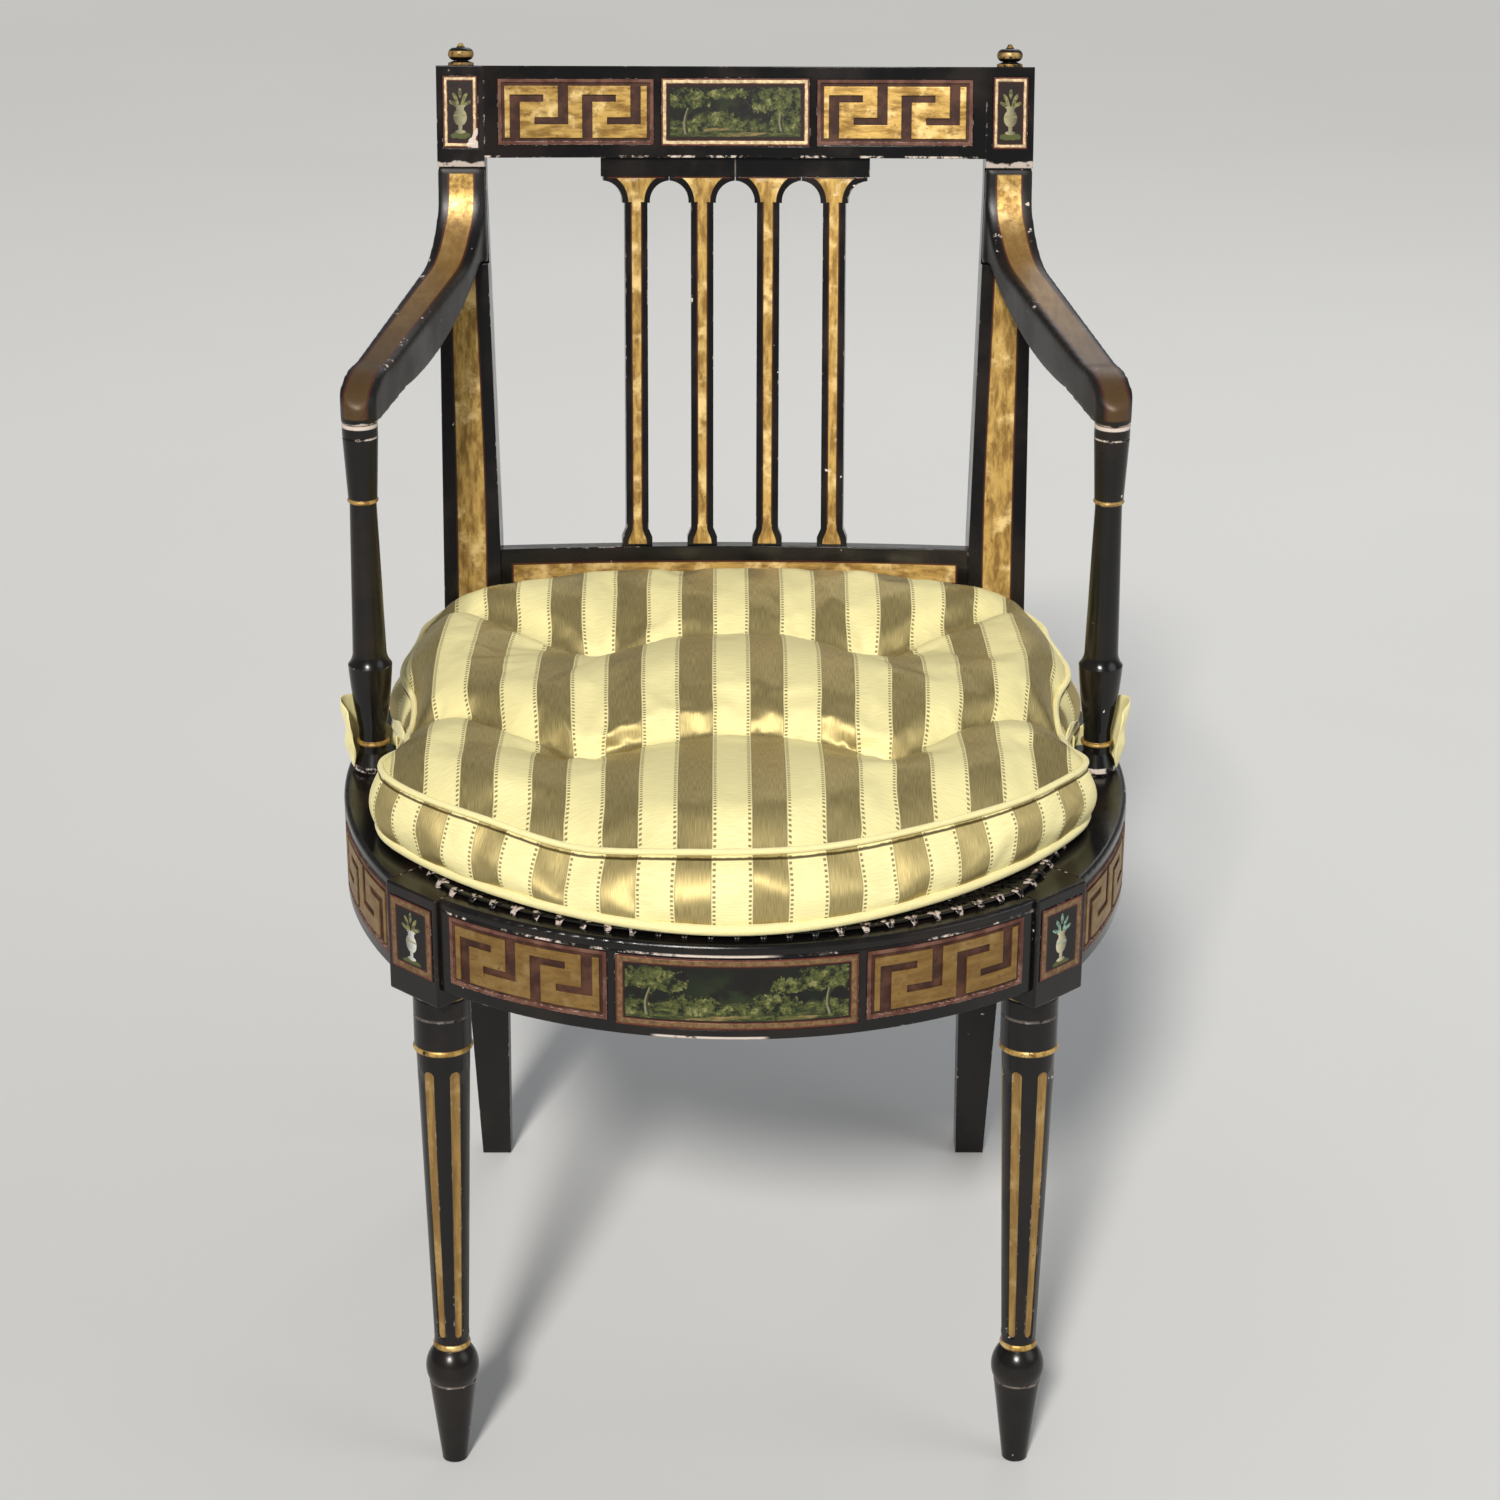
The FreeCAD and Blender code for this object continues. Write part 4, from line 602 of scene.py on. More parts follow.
assign(ebonised(Paint("ebonised_wood")), "rear_seat_rail", *pair("side_seat_rail"), *pair("front_leg_block"))
assign(front_rail_paint(), "front_seat_rail")
assign(crest_paint(), "crest_rail")
assign(head_rail_paint(), "splat_head_rail")
assign(stile_paint(), *pair("rear_leg"))
assign(arm_paint(), *pair("arm"))
for arm_name in pair("arm"):
    rub_smooth(nodes[arm_name])
for side, side_name in ((1, "right"), (-1, "left")):
    assign(leg_paint(side, side_name), "front_leg_" + side_name)
assign(post_paint(), *pair("arm_post"))
assign(finial_paint(), *pair("finial"))
assign(column_paint(), *("splat_column_%d" % number for number in range(1, 5)))
assign(lower_rail_paint(), "lower_back_rail")
# The last number is how far the gold is darkened to brown: painted shade on the upright front and side
# panels, none on the leaning crest
KEYS = {"front": (front_terms, FRONT_PICTURE_HALF + PANEL_GAP, SEAT_KEY_LOW, 0.80),
        "crest": (bow_terms, CREST_PICTURE_HALF + PANEL_GAP, CREST_KEY_LOW, 0.0),
        "side": (side_terms, SIDE_START, SEAT_KEY_LOW, 0.82)}
for place, details in KEYS.items():
    assign(key_paint("gilt_key_" + place, *details), *pair(place + "_key_panel"))
assign(fixing_paint("bare_beech", BEECH, metal=0.0, rough=0.6), "rail_dowels", "head_rail_dowels")
assign(fixing_paint("screw_steel", STEEL, metal=1.0, rough=0.45), "arm_screws")


# Painted panels
FRAME_EDGE = 1.3             # red line outside a picture's gilt frame
FRAME_WIDTH = 3.2
FRAME_INNER = 0.9            # red line inside it
MAT_WIDTH = 0.9              # dark ground inside that
MAT_BROWN = (0.016, 0.006, 0.004)
FRAME_CREAM = (0.80, 0.62, 0.36)
FRAME_BROWN = (0.26, 0.155, 0.072)
PICTURE_GROUND = (0.006, 0.005, 0.004)
PICTURE_DEEP = (0.005, 0.009, 0.004)
PICTURE_SHADE = (0.020, 0.028, 0.009)
PICTURE_GREEN = (0.075, 0.085, 0.022)
PICTURE_LEAF = (0.230, 0.220, 0.085)
PICTURE_OCHRE = (0.240, 0.160, 0.070)
PICTURE_BARK = (0.210, 0.185, 0.110)
PICTURE_TEAL = (0.250, 0.400, 0.300)
URN_BUFF = (0.560, 0.500, 0.340)
URN_OLIVE = (0.34, 0.31, 0.18)
URN_GREY = (0.62, 0.62, 0.56)
STILE_PICTURE_HALF = 12.5
STILE_PICTURE_HIGH = 25.5
BLOCK_PICTURE_HALF = 19.5
BLOCK_PICTURE_HIGH = 25.0

# Trees as (across, foot, height, lean, spread); shrubs, paths and chips as (middle, half sizes)
CREST_TREES = ((-36.0, -15.0, 25.0, 0.06, 14.0), (34.0, -13.0, 22.0, -0.04, 20.0))
CREST_SHRUBS = (((-14.0, -5.0), (16.0, 5.0)), ((12.0, -10.0), (14.0, 4.5)), ((38.0, -4.0), (12.0, 11.0)),
                ((-6.0, 13.0), (16.0, 4.0)), ((-30.0, -11.0), (14.0, 5.0)))
CREST_PATH = (((-14.0, -12.5), (9.0, 1.2)), ((6.0, -16.0), (15.0, 1.4)))
FRONT_TREES = ((-56.0, -15.0, 25.0, 0.08, 17.0), (58.0, -15.0, 26.0, -0.07, 17.0))
FRONT_SHRUBS = (((-28.0, -8.0), (15.0, 7.0)), ((22.0, -8.0), (17.0, 7.0)), ((34.0, 6.0), (13.0, 5.0)),
                ((-62.0, -11.0), (12.0, 6.0)), ((0.0, -12.0), (16.0, 4.5)), ((-40.0, 5.0), (9.0, 4.0)),
                ((60.0, -11.0), (11.0, 6.0)))
FRONT_PATH = (((-14.0, -16.5), (20.0, 1.5)), ((38.0, -17.0), (14.0, 1.3)))
STILE_CHIPS = (((-9.5, -23.0), (4.6, 3.4)), ((-10.6, -16.0), (1.5, 5.0)))
# Leaf masses of a tree over its spread, as (across, up, size)
CROWN_MASSES = ((0.0, 0.0, 1.0), (0.55, -0.22, 0.6), (-0.6, -0.15, 0.55))
# Leaves over an urn as (across, up, turn)
URN_LEAVES = ((0.0, 14.0, 90.0), (3.6, 11.0, 58.0), (-3.6, 11.0, 122.0), (5.4, 6.5, 24.0), (-5.4, 6.5, 156.0),
              (2.2, 7.0, 70.0), (-2.2, 7.0, 110.0))
# Bowl, neck, lip, stem and foot of an urn as (up, half width, half height)
URN_PARTS = ((-4.0, 5.0, 6.4), (2.6, 3.0, 2.4), (4.2, 4.3, 0.9), (-11.5, 1.5, 3.4), (-14.8, 3.9, 1.4))


def ellipse(u, v, middle, half, turn=0.0, uneven=0.0):
    """1 inside an ellipse, turned by some degrees, with an uneven edge where asked."""
    cosine, sine = math.cos(math.radians(turn)), math.sin(math.radians(turn))
    across, up = u - middle[0], v - middle[1]
    off = hypot(across * (cosine / half[0]) + up * (sine / half[0]),
                up * (cosine / half[1]) - across * (sine / half[1]))
    if uneven:
        off = u.paint.noise(0.28, 4.0, 0.7) * uneven + off - uneven / 2
    return off.rise(1.07, 0.93)


def landscape(trees, shrubs, path):
    """Wooded scene."""
    def subject(paint, u, v):
        broad = paint.noise(0.075, 3.0, 0.6)
        leaf = paint.noise(0.55, 4.0, 0.75)
        light = paint.noise(0.17, 3.0, 0.55) * 0.6 + leaf * 0.4
        brush = paint.flat_noise(u * 0.22, v, 0.55, 4.0, 0.65)
        leaves = paint.coats(PICTURE_DEEP, (light.rise(0.40, 0.54), PICTURE_GREEN),
                             (light.rise(0.53, 0.63), PICTURE_LEAF))
        turf = paint.coats(PICTURE_SHADE, (brush.rise(0.42, 0.60), PICTURE_GREEN),
                           (brush.rise(0.60, 0.70), PICTURE_LEAF))
        earth = paint.coats(PICTURE_GREEN, (brush.rise(0.40, 0.62), PICTURE_OCHRE))
        haze = abs(u).rise(44.0, 6.0) * v.between(-14.0, 10.0, 9.0) * broad.rise(0.36, 0.62)
        ground = (broad * 14.0 - 13.5 - v).rise(-1.5, 2.5)
        colour = paint.coats(PICTURE_GROUND, (broad.rise(0.40, 0.66), PICTURE_DEEP),
                             (haze * 0.9, PICTURE_SHADE), (ground, turf))
        for middle, half in shrubs:
            colour = paint.coats(colour, (ellipse(u, v, middle, half, 0.0, 2.4), leaves))
        for middle, half in path:
            colour = paint.coats(colour, (ellipse(u, v, middle, half, 4.0, 1.6), earth))
        for across, foot, height, lean, spread in trees:
            above = v - foot
            off = u - across - (above * lean + (v * 0.23).math("SINE") * 1.1)
            thick = above / height * -0.9 + 1.5
            trunk = (thick - abs(off)).rise(-0.3, 0.3) * above.between(-0.5, height, 0.8)
            fork = off - (above - 0.5 * height) * 0.75
            limb = fork.between(-0.55, 0.55, 0.3) * above.between(0.5 * height, height, 0.8)
            bark = paint.coats(PICTURE_BARK, ((leaf * 2.0 + off).rise(0.2, 1.6), PICTURE_SHADE))
            colour = paint.coats(colour, (trunk | limb, bark))
            for shift, lift, size in CROWN_MASSES:
                middle = (across + lean * height + shift * spread, foot + height + lift * spread)
                mass = ellipse(u, v, middle, (size * spread, 0.5 * size * spread), 0.0, 2.6)
                colour = paint.coats(colour, (mass, leaves))
        return colour
    return subject


def urn(scale, body, leaf_colour, ground=PICTURE_GROUND):
    """A footed urn with a sprig of leaves standing on a little grass."""
    def spot(u, v, across, up, wide, high, turn=0.0, uneven=0.0):
        return ellipse(u, v, (across * scale, up * scale), (wide * scale, high * scale), turn, uneven)

    def subject(paint, u, v):
        light = paint.noise(0.35, 3.0, 0.6)
        shade = (light * (5.0 * scale) + u).rise(-2.0 * scale, 8.0 * scale)
        clay = paint.coats(body, (shade, darker(body, 0.28)))
        leaves = paint.coats(darker(leaf_colour, 0.3), (light.rise(0.38, 0.62), leaf_colour))
        colour = paint.coats(ground, (light.rise(0.5, 0.7), PICTURE_GROUND),
                             (spot(u, v, 0.0, -17.5, 8.0, 2.6, 0.0, 1.2), PICTURE_GREEN))
        for across, up, turn in URN_LEAVES:
            colour = paint.coats(colour, (spot(u, v, across, up, 3.6, 1.3, turn, 0.5), leaves))
        bowl, *others = [spot(u, v, 0.0, *part) for part in URN_PARTS]
        whole = bowl
        for part in others:
            whole = whole | part
        band = bowl * v.between(-3.4 * scale, -2.0 * scale, 0.2)
        return paint.coats(colour, (whole, clay), (band * 0.8, leaf_colour))
    return subject


def picture_paint(name, terms, half, high, subject, gold, worn, width=FRAME_WIDTH, mat=MAT_WIDTH, chips=()):
    """Painted panel in a gilt frame: terms gives the places across and up from the panel's middle.

    The chips are where the left-hand panel has lost its paint.
    """
    paint = Paint(name)
    u, v = terms(paint)
    rim = (half - abs(u)).math("MINIMUM", high - abs(v)) + (paint.noise(0.22) * 0.9 - 0.45)
    streak = paint.noise(0.30, 4.0, 0.65)
    outer = FRAME_EDGE + width
    inside = outer + FRAME_INNER + mat
    gilt = rim.between(FRAME_EDGE, outer, 0.25)
    red = rim.between(0.3, outer + FRAME_INNER, 0.4)
    rubbed = paint.noise(0.16, 5.0, 0.7).rise(worn, worn + 0.08)
    frame_gold = paint.coats(darker(gold, 0.55), (streak.rise(0.38, 0.64), gold), (rubbed, RED_GROUND))
    crackle = paint.noise(0.5, 5.0, 0.75).rise(0.62, 0.70)
    colour = paint.coats(BLACK, (rim.rise(0.2, 0.6), subject(paint, u, v)), (crackle * 0.5, BROWN_BLACK),
                         (rim.rise(inside + 0.4, inside - 0.4), MAT_BROWN))
    line = paint.coats(RED_GROUND, (rim.rise(outer + 0.2, outer + 0.9), colour))
    edge, rounded = paint.edges(0.8)
    chip = edge * paint.ragged(0.12, 0.60, 0.66)
    for middle, reach in chips:
        chip = chip | ellipse(u, v, middle, reach, 30.0, 1.6) * paint.x.rise(1.0, -1.0)
    colour = paint.coats(colour, (red, line), (gilt, frame_gold), (chip, CHIP))
    rough = gilt.blend(0.42, streak.blend(0.50, 0.36))
    normal = paint.bump(streak * 0.6 + gilt, 0.18, rounded)
    return paint.done(colour, rough, gilt * 0.45, normal, Specular_IOR_Level=0.3)


def middle_height(name):
    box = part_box(name)
    return (box[0][2] + box[1][2]) / 2 / MM


def crest_place(paint):
    arc, proud, along = bow_terms(paint)
    return arc, along - CREST_MIDDLE


def front_place(paint):
    arc, proud, up = front_terms(paint)
    return arc, up - middle_height("front_picture_panel")


def stile_place(paint):
    across, depth, along = back_terms(paint)
    return abs(across) - (STILE_OUTER - STILE_FACE_TOP / 2), along - CREST_MIDDLE


def block_place(paint):
    run = (abs(paint.x) - LEG_X) * math.cos(BLOCK_TURN) + (paint.y - LEG_Y) * math.sin(BLOCK_TURN)
    return run, paint.z - middle_height("block_picture_panel_left")


assign(picture_paint("painted_crest", crest_place, CREST_PICTURE_HALF, PICTURE_HEIGHT / 2,
                     landscape(CREST_TREES, CREST_SHRUBS, CREST_PATH),
                     FRAME_CREAM, worn=0.72, width=2.3, mat=2.2),
       "crest_picture_panel")
assign(picture_paint("painted_front", front_place, FRONT_PICTURE_HALF, PICTURE_HEIGHT / 2,
                     landscape(FRONT_TREES, FRONT_SHRUBS, FRONT_PATH),
                     FRAME_BROWN, worn=0.62),
       "front_picture_panel")
assign(picture_paint("painted_stile", stile_place, STILE_PICTURE_HALF, STILE_PICTURE_HIGH,
                     urn(0.95, URN_OLIVE, PICTURE_LEAF, MAT_BROWN),
                     FRAME_CREAM, worn=0.70, width=1.8, chips=STILE_CHIPS),
       *pair("stile_picture_panel"))
for side_name, body, sprig in (("left", URN_GREY, PICTURE_LEAF), ("right", URN_BUFF, PICTURE_TEAL)):
    assign(picture_paint("painted_block_" + side_name, block_place, BLOCK_PICTURE_HALF, BLOCK_PICTURE_HIGH,
                         urn(1.0, body, sprig), FRAME_BROWN, worn=0.60, width=3.6),
           "block_picture_panel_" + side_name)


# Meshes
def make_mesh(name, points, faces, material, corners=None, smooth=True):
    """Object from points in millimetres; corners are cloth coordinates, one for each corner of a face."""
    mesh = bpy.data.meshes.new(name)
    mesh.from_pydata([tuple(point) for point in np.asarray(points) * MM], [], faces)
    if corners is not None:
        layer = mesh.uv_layers.new(name="cloth")
        layer.data.foreach_set("uv", (np.asarray(corners) * MM).ravel())
    mesh.materials.append(material)
    mesh.validate()
    if smooth:
        mesh.shade_smooth()
    made = bpy.data.objects.new(name, mesh)
    bpy.context.collection.objects.link(made)
    return made


def add_subdivision(made):
    modifier = made.modifiers.new("subdivision", "SUBSURF")
    modifier.levels = 1
    modifier.render_levels = 1


def set_points(made, points):
    made.data.vertices.foreach_set("co", (points * MM).ravel())


def unit(vectors):
    return vectors / np.linalg.norm(vectors, axis=1)[:, None]


def outward(ring):
    """Level headings away from the middle of the seat."""
    return unit(ring[:, :2] - (0.0, WIDEST_Y))


def headings(points):
    """Directions along a closed line."""
    return np.roll(points, -1, axis=0) - np.roll(points, 1, axis=0)


def closed_up(points):
    return np.vstack([points, points[:1]])


def lengths_along(line):
    steps = np.linalg.norm(np.diff(line, axis=0), axis=1)
    return np.concatenate([[0.0], np.cumsum(steps)])


def resample(points, count, closed=True):
    """Points spread evenly along a line."""
    line = closed_up(points) if closed else np.asarray(points)
    lengths = lengths_along(line)
    places = np.linspace(0.0, lengths[-1], count, endpoint=not closed)
    return np.column_stack([np.interp(places, lengths, column) for column in line.T])


def relax(points, rounds):
    """Soften a closed line."""
    for turn in range(rounds):
        points = (np.roll(points, 1, axis=0) + 2 * points + np.roll(points, -1, axis=0)) / 4
    return points


def smooth(value, low, high):
    share = np.clip((value - low) / (high - low), 0.0, 1.0)
    return share * share * (3 - 2 * share)


def bell(value, middle, spread):
    return np.exp(-((value - middle) / spread) ** 2)


def from_table(values, table):
    """Second column of a table at some values of its first."""
    columns = np.array(table).T
    return np.interp(values, columns[0], columns[1])


def side_radius(wide, rear):
    """Radius of a side that narrows from the widest place to the back."""
    drop = wide - rear
    return (drop ** 2 + SIDE_RUN ** 2) / (2 * drop)


def join_lines(lines, along, around, closed):
    """Points, faces and cloth coordinates of a strip, from the lines that run along it, in order round it."""
    sides, count = len(lines), len(lines[0])
    faces, corners = [], []
    for index in range(count if closed else count - 1):
        here, after = index * sides, (index + 1) % count * sides
        for side in range(sides):
            beside = (side + 1) % sides
            faces.append((here + side, after + side, after + beside, here + beside))
            corners += [(around[side], along[index]), (around[side], along[index + 1]),
                        (around[side + 1], along[index + 1]), (around[side + 1], along[index])]
    if not closed:
        last = count * sides - 1
        faces += [tuple(range(sides)), tuple(range(last, last - sides, -1))]
        corners += [(place, 0.0) for place in around[:sides]] * 2
    return np.stack(lines, axis=1).reshape(-1, 3), faces, corners


def ribbon(points, asides, thick, columns=2, closed=False, ripple=0.0):
    """Flat strip along a line: asides are its half widths, and ripple moves its columns off the flat."""
    points = np.asarray(points, float)
    ahead = headings(points) if closed else np.gradient(points, axis=0)
    face = unit(np.cross(ahead, asides))
    shares = np.linspace(-1.0, 1.0, columns)
    lifts = np.broadcast_to(ripple, (len(points), columns)).T
    upper = [points + asides * share + face * (lift[:, None] + thick / 2)
             for share, lift in zip(shares, lifts)]
    lower = [line - face * thick for line in upper]
    across = np.concatenate([shares, shares[::-1], shares[:1]]) * np.linalg.norm(asides, axis=1).mean()
    return join_lines(upper + lower[::-1], lengths_along(closed_up(points)), across, closed)


def gathered(pieces):
    """Several meshes as one."""
    points, faces, corners, start = [], [], [], 0
    for made, some_faces, some_corners in pieces:
        points.append(made)
        faces += [tuple(start + index for index in face) for face in some_faces]
        corners += some_corners
        start += len(made)
    return np.vstack(points), faces, corners


# Cushion
CUSHION_LOW = 426.6
CUSHION_FRONT_R = 270.0      # front edge at the corners
CUSHION_FRONT_SWELL = 17.0   # further out in the middle
CUSHION_SHIFTS = {1: 9.0, -1: -3.0}   # it lies askew: further in on the right, further out on the left
UPPER_INSET = 19.0           # upper seam inside that edge at the front
SIDE_INSET = 0.3             # share of that at the sides
LOWER_INSET = -2.0
CUSHION_HALF_WIDTH = 241.0
CUSHION_REAR_HALF = 219.0
CUSHION_BACK_GAP = 2.5
BOXING_HEIGHT = 43.5
BOXING_BULGE = 9.0
BOXING_ROWS = 7
CROWN_RUN = 44.0
CROWN_FRONT_RUN = 31.0
NOTCH_R = 24.0               # a notch goes this far in from the arm post's axis
NOTCH_Y = -42.0
NOTCH_LONG = 74.0            # half its length
CORNER_Y = -112.0            # the upper seam comes out to the edge at the corner in front of a notch
CORNER_RUN = 34.0
EDGE_POINTS = 256
EDGE_ROUNDS = 8
CLOTH_STEP = 7.0
BOTTOM_STEP = 24.0
# Folds on the right half, as (x, y, z), from the middle through a tuft to the side
FRONT_FOLD = ((0.0, -98.0, 484.0), (62.0, -111.0, 481.0), (102.0, -120.0, 470.0), (125.0, -103.0, 475.0),
              (147.0, -87.0, 478.0), (172.0, -62.0, 475.0), (196.0, -46.0, 469.0))
REAR_FOLD = ((0.0, 59.0, 489.0), (33.0, 60.0, 487.0), (62.0, 58.0, 480.0), (92.0, 54.0, 466.0),
             (123.0, 70.0, 476.0), (149.0, 86.0, 481.0), (172.0, 104.0, 481.0), (198.0, 132.0, 477.0))
FRONT_TUFT = 2               # which of those points is the tuft
REAR_TUFT = 3
TUFT_WIDTH = 26.0
TUFT_GATHER = 44.0           # cloth is gathered in from this far round a tuft
TUFT_PINNED = 6.0
TUFT_SHARE = 0.42            # how far towards the tuft it comes
SEAM_HELD = 0.35             # how firmly the upper seam is held, where 1 is fixed
BOXING_FIRM = 0.6            # share of the full shrinking that the boxing takes
FRONT_FIRM = (108.0, 132.0)  # the upper side's share goes from none to full over this way to the front
CHART_JUMP = 60.0            # a longer step than this is where the boxing's chart is cut
FOLD_WIDTH = 14.0
OVERHANG = 11.0              # how far the middle of the cushion leans over the front fold
OVERHANG_RUN = 26.0
# Rise of the crown above the upper seam, from front to back: (y, rise), with a step at each fold
CROWN_PROFILE = ((-290.0, 23.0), (-235.0, 24.5), (-200.0, 24.5), (-150.0, 22.5), (-104.0, 17.0),
                 (-88.0, 27.0), (-60.0, 32.0), (-30.0, 31.5), (20.0, 28.0), (65.0, 19.0), (84.0, 22.0),
                 (118.0, 27.0), (180.0, 24.0))
REAR_SEAM_RISE = 9.0         # the seam is pushed up at the back
TIE_DIP = 12.0               # and down at the ties
CLOTH_SETTINGS = {"quality": 8, "mass": 0.25, "tension_stiffness": 20.0, "compression_stiffness": 20.0,
                  "shear_stiffness": 8.0, "bending_stiffness": 0.25, "air_damping": 3.0, "pin_stiffness": 1.0,
                  "vertex_group_mass": "held", "vertex_group_shrink": "firm", "shrink_min": -0.035,
                  "shrink_max": 0.0, "vertex_group_pressure": "soft", "use_pressure": True,
                  "uniform_pressure_force": 4.0}
CLOTH_FRAMES = 30
CLOTH_REACH = 22.0           # the stuffing moves the cover this far at most
PUCKERS = 7
PUCKER_HEIGHT = 1.9
PUCKER_R = 25.0
PUCKER_SPREAD = 15.0
UPPER_WELT_R = 2.2
LOWER_WELT_R = 3.6
WELT_SIDES = 10
WELT_POINTS = 360
BOXING_CHART = -1000.0       # where the boxing starts on the cloth's chart, clear of the upper side
UNDER_WELT = 2.6             # painted shadow of the welt: a dark line this far below the upper seam
STRIPE_PERIOD = 46.4
STRIPE_LIGHT = 25.2
STRIPE_MIDDLE = -3.0
BEAD_PITCH = 2.6
RIB_PITCH = 0.9
CREAM = (0.90, 0.82, 0.42)
CREAM_SHADE = (0.80, 0.71, 0.34)
SATIN = (0.585, 0.475, 0.215)
SATIN_SHADE = (0.390, 0.310, 0.125)
BEAD_BROWN = (0.20, 0.145, 0.045)
# Dark brown for the stitched lines along the stripes, and for the painted shadow under the welt
STITCH_AND_SHADOW = (0.10, 0.070, 0.018)


def fabric(name, striped=True):
    """Striped satin and ribbed cloth, with beaded lines along the light stripes."""
    paint = Paint(name)
    u, v, level = paint.split(paint.millimetres(paint.term("ShaderNodeUVMap", uv_map="cloth")))
    threads = paint.flat_noise(u * 2.6, v * 0.12, 1.0)
    slub = paint.flat_noise(u * 0.10, v * 1.6, 1.0)
    cream = paint.coats(CREAM_SHADE, (slub.rise(0.30, 0.72), CREAM))
    rib = (v * (2 * math.pi / RIB_PITCH)).math("SINE")
    if not striped:
        normal = paint.bump(rib * 0.5 + slub, 0.12)
        return paint.done(cream, 0.7, 0.0, normal, Sheen_Weight=0.25, Sheen_Roughness=0.4)
    turns = (u - STRIPE_MIDDLE) / STRIPE_PERIOD
    off = abs(turns - turns.math("ROUND")) * STRIPE_PERIOD
    half = STRIPE_LIGHT / 2
    satin = off.rise(half - 0.25, half + 0.25)
    dark = paint.coats(SATIN_SHADE, (threads.rise(0.30, 0.70), SATIN))
    dots = (v * (2 * math.pi / BEAD_PITCH)).math("SINE").rise(-0.05, 0.35)
    bead = off.between(half - 2.8, half - 1.0, 0.2) * dots
    line = off.between(half - 0.5, half + 0.3, 0.2)
    # Painted shadow: a dark line on the boxing just under the upper welt
    under = v.between(BOXING_CHART - UNDER_WELT - 1.3, BOXING_CHART - UNDER_WELT, 0.3)
    colour = paint.coats(cream, (satin, dark), (bead * 0.9, BEAD_BROWN), (line * 0.45, STITCH_AND_SHADOW),
                         (under, STITCH_AND_SHADOW))
    rough = satin.blend(0.66, threads.blend(0.52, 0.58))
    normal = paint.bump(satin.blend(rib * 0.4 + slub, threads) + bead * 2.0, 0.10)
    across = paint.term("ShaderNodeTangent", direction_type="UV_MAP", uv_map="cloth")
    return paint.done(colour, rough, satin.blend(0.15, 0.85), normal, Specular_IOR_Level=0.7,
                      Anisotropic=0.55, Tangent=across)


def cushion_edge(inset, z):
    """Level outline of the cushion, from the middle of its front, round by the right."""
    radius = side_radius(CUSHION_HALF_WIDTH, CUSHION_REAR_HALF)
    lean = (z - SEAT_TOP) * math.tan(math.radians(BACK_RAKE))
    rear_y = BACK_Y + lean - CUSHION_BACK_GAP - BOXING_BULGE / 2
    bow_x = CUSHION_REAR_HALF * STILE_INNER_LOW / STILE_OUTER - CUSHION_BACK_GAP

    def inset_at(y):
        front = SIDE_INSET + (1 - SIDE_INSET) * smooth(-y, 165.0, 262.0)
        return inset * front * (1 - bell(y, CORNER_Y, CORNER_RUN))

    def side_x(y):
        return CUSHION_HALF_WIDTH - radius + math.sqrt((radius - inset_at(y)) ** 2 - (y - WIDEST_Y) ** 2)

    halves = []
    for side in (1, -1):
        half = []
        for step in range(180):
            turn = math.radians(step * 0.5)
            reach = CUSHION_FRONT_R + CUSHION_FRONT_SWELL * bell(turn, 0.0, 0.42)
            reach -= CUSHION_SHIFTS[side] * math.sin(1.3 * turn)
            reach -= inset_at(-reach * math.cos(turn))
            point = (reach * math.sin(turn), -reach * math.cos(turn))
            if point[0] > side_x(point[1]):
                break
            half.append(point)
        for y in np.arange(half[-1][1] + 1.0, rear_y, 1.0):
            x = side_x(y)
            share = 1 - abs((y - NOTCH_Y) / NOTCH_LONG) ** 3
            if share > 0:
                x = min(x, POST_X - (NOTCH_R + inset / 3) * share ** (1 / 3))
            half.append((x, y))
        for x in np.arange(half[-1][0], 0.0, -2.0):
            half.append((x, rear_y + max(bow_x ** 2 - x ** 2, 0.0) / (2 * BOW_R)))
        halves.append([(side * x, y) for x, y in half])
    loop = np.array(halves[0] + halves[1][:0:-1])
    return relax(resample(loop, EDGE_POINTS), EDGE_ROUNDS)


def seam_height(x, y):
    """Height of the upper seam, which sags at the front left, dips at the ties and rises at the back."""
    sag = 3.0 * bell(x, 0.0, 60.0) - 7.0 * bell(x, -105.0, 45.0)
    dip = TIE_DIP * bell(y, NOTCH_Y, 50.0) * smooth(np.abs(x), 185.0, 215.0)
    rear = REAR_SEAM_RISE * smooth(y, 90.0, 172.0) * (1 - smooth(np.abs(x), 90.0, 215.0))
    return CUSHION_LOW + BOXING_HEIGHT + smooth(-y, 150.0, 210.0) * sag - dip + rear


def from_segment(points, start, end):
    """Distance of points from a straight line, and how far along it they are, from 0 to 1."""
    share = np.clip((points - start) @ (end - start) / np.sum((end - start) ** 2), 0.0, 1.0)
    return np.linalg.norm(points - start - share[:, None] * (end - start), axis=1), share


def folds():
    """The four half folds, each as its points and the place of its tuft among them."""
    return [(np.array(line) * (side, 1, 1), tuft)
            for line, tuft in ((FRONT_FOLD, FRONT_TUFT), (REAR_FOLD, REAR_TUFT)) for side in (1, -1)]


